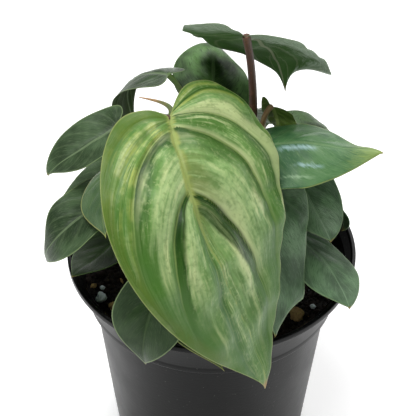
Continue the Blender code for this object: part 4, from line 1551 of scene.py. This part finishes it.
class PottingMix:
    """Mound of potting mix in the pot, strewn with crumbs."""

    RIM_Z = 81.0
    CROWN_Z = 85.0
    CROWN_RADIUS = 26.0
    GAP = 0.3
    MOUND_RINGS, MOUND_STEPS = 46, 160
    BED_RINGS, BED_SPOKES, BED_MARGIN = 40, 96, 1.2
    SWELLS = ((21, 0.5), (11, 0.35), (6, 0.22))
    SWELL_SHARE, SUNK = 0.6, 1.3
    KINDS = (
        Litter("peat", 0.62, 0.35, 1.0, 0.7, 1, Finishes.PEAT, 2),
        Litter("lumps", 0.075, 0.9, 1.9, 0.7, 2, Finishes.PEAT, 3),
        Litter("bark", 0.010, 0.6, 1.6, 0.45, 2, Finishes.BARK, 5),
        Litter("perlite", 0.003, 0.4, 0.9, 0.85, 2, Finishes.PERLITE, 7),
    )

    def __init__(self, pot: Pot, finishes: Finishes) -> None:
        """Keep the pot that holds the mix."""
        self.pot, self.finishes = pot, finishes

    def surface(self, radius: np.ndarray) -> np.ndarray:
        """Height of the smooth mound at a distance from the axis."""
        edge = self.pot.inner(self.RIM_Z) - self.GAP
        fall = (self.CROWN_Z - self.RIM_Z) / (edge - self.CROWN_RADIUS)
        return self.CROWN_Z - fall * np.maximum(0, radius - self.CROWN_RADIUS)

    def build(self) -> Piece:
        """Make the mound and its crumbs as one piece."""
        parts = [self.mound()]
        recipe = self.strewing()
        for kind in self.KINDS:
            bed = link(f"{kind.name}_bed", self.bed())
            parts.append(recipe.apply(
                bed, Density=kind.per_area / MM ** 2, Smallest=kind.smallest * MM,
                Largest=kind.largest * MM, Flatness=kind.flat, Level=kind.level,
                Seed=kind.seed, Material=self.finishes.get(kind.finish)))
        mesh = joined("potting_mix_look", parts)
        return dress(link("potting_mix_look", mesh), "potting_mix")

    def mound(self) -> Mesh:
        """Body of the mix, rough on top."""
        ledge = self.pot.height - self.pot.band + self.pot.wall
        edge = self.pot.inner(self.RIM_Z) - self.GAP
        radii = np.linspace(0, edge, self.MOUND_RINGS)
        profile = [(r, float(self.surface(np.array(r)))) for r in radii]
        profile += [(self.pot.band_low - self.pot.wall - self.GAP, ledge + self.GAP),
                    (self.pot.inner(ledge) - self.GAP, ledge + self.GAP),
                    (self.pot.foot - self.pot.wall - self.GAP, self.pot.wall + self.GAP),
                    (0, self.pot.wall + self.GAP)]
        mesh = turned_mesh("mound", profile, self.MOUND_STEPS)
        points = np.empty(len(mesh.vertices) * 3)
        mesh.vertices.foreach_get("co", points)
        points = points.reshape(-1, 3)
        top = points[:, 2] > (self.RIM_Z - 0.01) * MM
        points[top, 2] += self.lumps(points[top, 0] / MM, points[top, 1] / MM) * MM
        mesh.vertices.foreach_set("co", points.ravel())
        mesh.materials.append(self.finishes.get(Finishes.MIX))
        smooth(mesh, 50)
        return mesh

    @classmethod
    def lumps(cls, x: np.ndarray, y: np.ndarray) -> np.ndarray:
        """Unevenness of the mix in millimetres, sunk so that it mostly lies below the smooth mound."""
        rng = np.random.default_rng(21)
        total = np.zeros_like(x)
        for size, depth in cls.SWELLS:
            for angle in rng.uniform(0, 2 * math.pi, 4):
                phase = (x * math.cos(angle) + y * math.sin(angle)) / size
                total += depth * np.sin(2 * math.pi * phase + rng.uniform(0, 6.3))
        return total * cls.SWELL_SHARE - cls.SUNK

    def height(self, radius: float, x: float, y: float) -> float:
        """Height of the rough mound at a place and its distance from the axis."""
        return float(self.surface(np.array(radius))) + float(self.lumps(np.array([x]), np.array([y]))[0])

    def bed(self) -> Mesh:
        """Disc that the crumbs are strewn on."""
        edge = self.pot.inner(self.RIM_Z) - self.BED_MARGIN
        rings, spokes = self.BED_RINGS, self.BED_SPOKES
        points = [(0.0, 0.0, self.height(0.0, 0.0, 0.0))]
        for ring in range(1, rings + 1):
            radius = edge * ring / rings
            for spoke in range(spokes):
                angle = 2 * math.pi * spoke / spokes
                x, y = radius * math.cos(angle), radius * math.sin(angle)
                points.append((x, y, self.height(radius, x, y)))
        faces = [(0, 1 + s, 1 + (s + 1) % spokes) for s in range(spokes)]
        for ring in range(rings - 1):
            low, high = 1 + ring * spokes, 1 + (ring + 1) * spokes
            faces.extend((low + s, high + s, high + (s + 1) % spokes, low + (s + 1) % spokes)
                         for s in range(spokes))
        return mesh_from("bed", np.array(points), faces)

    @staticmethod
    def strewing() -> Recipe:
        """Tree that scatters rough crumbs over a surface."""
        recipe = Recipe("strewing")
        recipe.ask(Density="Float", Smallest="Float", Largest="Float", Flatness="Float",
                   Level="Int", Seed="Int", Material="Material")
        spots = recipe.add("GeometryNodeDistributePointsOnFaces", recipe.given("Geometry"),
                           Density=recipe.given("Density"), Seed=recipe.given("Seed"))
        ball = recipe.add("GeometryNodeMeshIcoSphere", 1.0, recipe.given("Level"))
        place = recipe.add("GeometryNodeInputPosition")
        rough = recipe.add("ShaderNodeTexNoise", None, place.outputs[0], Scale=1.7, Detail=2.0)
        swing = recipe.add("ShaderNodeMath", rough.outputs[0], 0.5, operation="SUBTRACT")
        push = recipe.add("ShaderNodeVectorMath", place.outputs[0], operation="SCALE")
        recipe.fill(push.inputs["Scale"], swing.outputs[0])
        crumb = recipe.add("GeometryNodeSetPosition", ball.outputs[0], Offset=push.outputs[0])
        turn = recipe.add("FunctionNodeRandomValue", data_type="FLOAT_VECTOR",
                          Seed=recipe.given("Seed"))
        turn.inputs[1].default_value = (6.283, 6.283, 6.283)
        size = recipe.add("FunctionNodeRandomValue", data_type="FLOAT", Seed=recipe.given("Seed"))
        recipe.fill(size.inputs[2], recipe.given("Smallest"))
        recipe.fill(size.inputs[3], recipe.given("Largest"))
        thin = recipe.add("ShaderNodeMath", size.outputs[1], recipe.given("Flatness"),
                          operation="MULTIPLY")
        scale = recipe.add("ShaderNodeCombineXYZ", size.outputs[1], size.outputs[1], thin.outputs[0])
        placed = recipe.add("GeometryNodeInstanceOnPoints", spots.outputs[0],
                            Instance=crumb.outputs[0], Rotation=turn.outputs[0],
                            Scale=scale.outputs[0])
        pick = recipe.add("FunctionNodeRandomValue", data_type="FLOAT", Seed=recipe.given("Seed"))
        picked = recipe.add("GeometryNodeStoreNamedAttribute", placed.outputs[0],
                            data_type="FLOAT", domain="INSTANCE", Name="pick",
                            Value=pick.outputs[1])
        recipe.close(picked.outputs[0])
        return recipe


def joined(name: str, meshes: list[Mesh]) -> Mesh:
    """One mesh from several, each keeping its material and attributes."""
    pieces = [link(f"{name}_{index}", mesh) for index, mesh in enumerate(meshes)]
    with bpy.context.temp_override(active_object=pieces[0], object=pieces[0],
                                   selected_objects=pieces, selected_editable_objects=pieces):
        bpy.ops.object.join()
    mesh = pieces[0].data
    bpy.data.objects.remove(pieces[0], do_unlink=True)
    mesh.name = name
    return mesh


@dataclass(frozen=True)
class Lump:
    """A loose lump on the mix that is a piece of its own."""

    node: str
    slot: str
    finish: CrumbFinish
    seed: int
    rough: float = 0.10
    size: float = 1.0
    waves: int = 14
    fullness: float = 0.93

    def build(self, finishes: Finishes) -> Piece:
        """Make the lump in the box of its node.

        Args:
            finishes: Where its material comes from.

        Returns:
            The finished piece.
        """
        low, high = (Vector(corner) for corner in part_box(self.node))
        centre, half = (low + high) / 2, (high - low) / 2 * self.size
        work = bmesh.new()
        bmesh.ops.create_icosphere(work, subdivisions=4, radius=1.0)
        rng = np.random.default_rng(self.seed)
        ways = rng.normal(size=(self.waves, 3)) * rng.uniform(1.5, 7.0, (self.waves, 1))
        shifts = rng.uniform(0, 6.3, self.waves)
        for vertex in work.verts:
            swell = sum(math.sin(float(np.dot(way, vertex.co)) + shift) / (1 + np.linalg.norm(way))
                        for way, shift in zip(ways, shifts))
            vertex.co *= self.fullness + self.rough * swell
            vertex.co = Vector(c * h for c, h in zip(vertex.co, half)) + centre
        mesh = mesh_of(work, self.node)
        note(mesh, "pick", np.full(len(mesh.vertices), 0.7))
        smooth(mesh, 60)
        return dress(link(f"{self.node}_look", mesh, finishes.get(self.finish)), self.node)


LUMPS = (
    Lump("perlite_left", "perlite", Finishes.PERLITE, 3, 0.3, 1.3),
    Lump("perlite_left_small", "perlite", Finishes.PERLITE, 5, 0.25),
    Lump("perlite_right", "perlite", Finishes.PERLITE, 7, 0.25),
    Lump("bark_right", "bark_chip", Finishes.BARK, 11, 0.4, 1.35),
    Lump("bark_left", "bark_chip", Finishes.BARK, 13, 0.4),
    Lump("bark_back", "bark_chip", Finishes.BARK, 17, 0.4),
)


# ---------------------------------------------------------------------------
# Studio
# ---------------------------------------------------------------------------

@dataclass(frozen=True)
class Softbox:
    """A square light: where it stands, what it points at, its side and its power."""

    name: str
    place: Point
    aim: Point
    side: float
    power: float


class Studio:
    """White floor, soft lights and the camera."""

    TARGET = (-0.0015, 0.0, 0.1114)
    DISTANCE = 0.55
    PITCH = 40.4
    ROLL = 0.5
    LENS = 125.2
    SOFTBOXES = (
        Softbox("back", (0.35, 0.9, 1.0), (0.0, 0.0, 0.1), 1.0, 10.0),
        Softbox("overhead", (-0.2, -0.15, 1.3), (0.0, 0.0, 0.1), 0.6, 9.5),
        Softbox("fill", (-0.9, -0.8, 0.8), (0.0, 0.0, 0.12), 0.8, 3.0),
    )
    SURROUNDINGS = 0.22
    FLOOR_REACH, FLOOR_GLOW, FLOOR_Z = 4.0, 0.45, -0.0002

    def build(self) -> None:
        """Set up everything round the plant."""
        self.floor()
        self.world()
        for box in self.SOFTBOXES:
            self.softbox(box)
        self.camera()
        bpy.context.scene.view_settings.view_transform = "Standard"

    def floor(self) -> None:
        """Wide white floor under the pot."""
        work = bmesh.new()
        bmesh.ops.create_grid(work, x_segments=1, y_segments=1, size=self.FLOOR_REACH)
        graph = Graph("floor", 0.7, 0.2)
        graph.surface("Base Color", (0.92, 0.92, 0.92, 1.0))
        graph.surface("Emission Color", "ffffff")
        graph.surface("Emission Strength", self.FLOOR_GLOW)
        floor = link("floor", mesh_of(work, "floor"), graph.material)
        floor.location.z = self.FLOOR_Z

    def world(self) -> None:
        """Even white surroundings."""
        world = bpy.data.worlds.new("surroundings")
        world.use_nodes = True
        background = world.node_tree.nodes["Background"]
        background.inputs["Color"].default_value = tint("ffffff")
        background.inputs["Strength"].default_value = self.SURROUNDINGS
        bpy.context.scene.world = world

    @staticmethod
    def softbox(box: Softbox) -> None:
        """Place one light."""
        lamp = bpy.data.lights.new(box.name, "AREA")
        lamp.shape = "SQUARE"
        lamp.size = box.side
        lamp.energy = box.power
        holder = bpy.data.objects.new(box.name, lamp)
        way = Vector(box.aim) - Vector(box.place)
        holder.matrix_world = (Matrix.Translation(box.place)
                               @ way.to_track_quat("-Z", "Y").to_matrix().to_4x4())
        bpy.context.scene.collection.objects.link(holder)

    def camera(self) -> None:
        """Camera in front of the plant, looking down at it."""
        pitch, roll = math.radians(self.PITCH), math.radians(self.ROLL)
        ahead = Vector((0, math.cos(pitch), -math.sin(pitch)))
        level = Vector((1, 0, 0))
        right = level * math.cos(roll) + level.cross(ahead) * math.sin(roll)
        up = right.cross(ahead)
        place = Vector(self.TARGET) - ahead * self.DISTANCE
        turn = Matrix((right, up, -ahead)).transposed().to_4x4()
        data = bpy.data.cameras.new("camera")
        data.lens = self.LENS
        data.sensor_width = 36.0
        data.clip_start, data.clip_end = 0.01, 20.0
        camera = bpy.data.objects.new("camera", data)
        camera.matrix_world = Matrix.Translation(place) @ turn
        bpy.context.scene.collection.objects.link(camera)
        bpy.context.scene.camera = camera


def main() -> None:
    """Build the plant, its pot and the studio."""
    logging.basicConfig(level=logging.INFO, format="%(name)s: %(message)s")
    finishes, rods, pot = Finishes(), RodMaker(), Pot()
    Studio().build()
    pot.build(finishes.get(Finishes.POT))
    PottingMix(pot, finishes).build()
    for lump in LUMPS:
        lump.build(finishes)
    Foliage(finishes, rods).build()


if __name__ == "__main__":
    main()
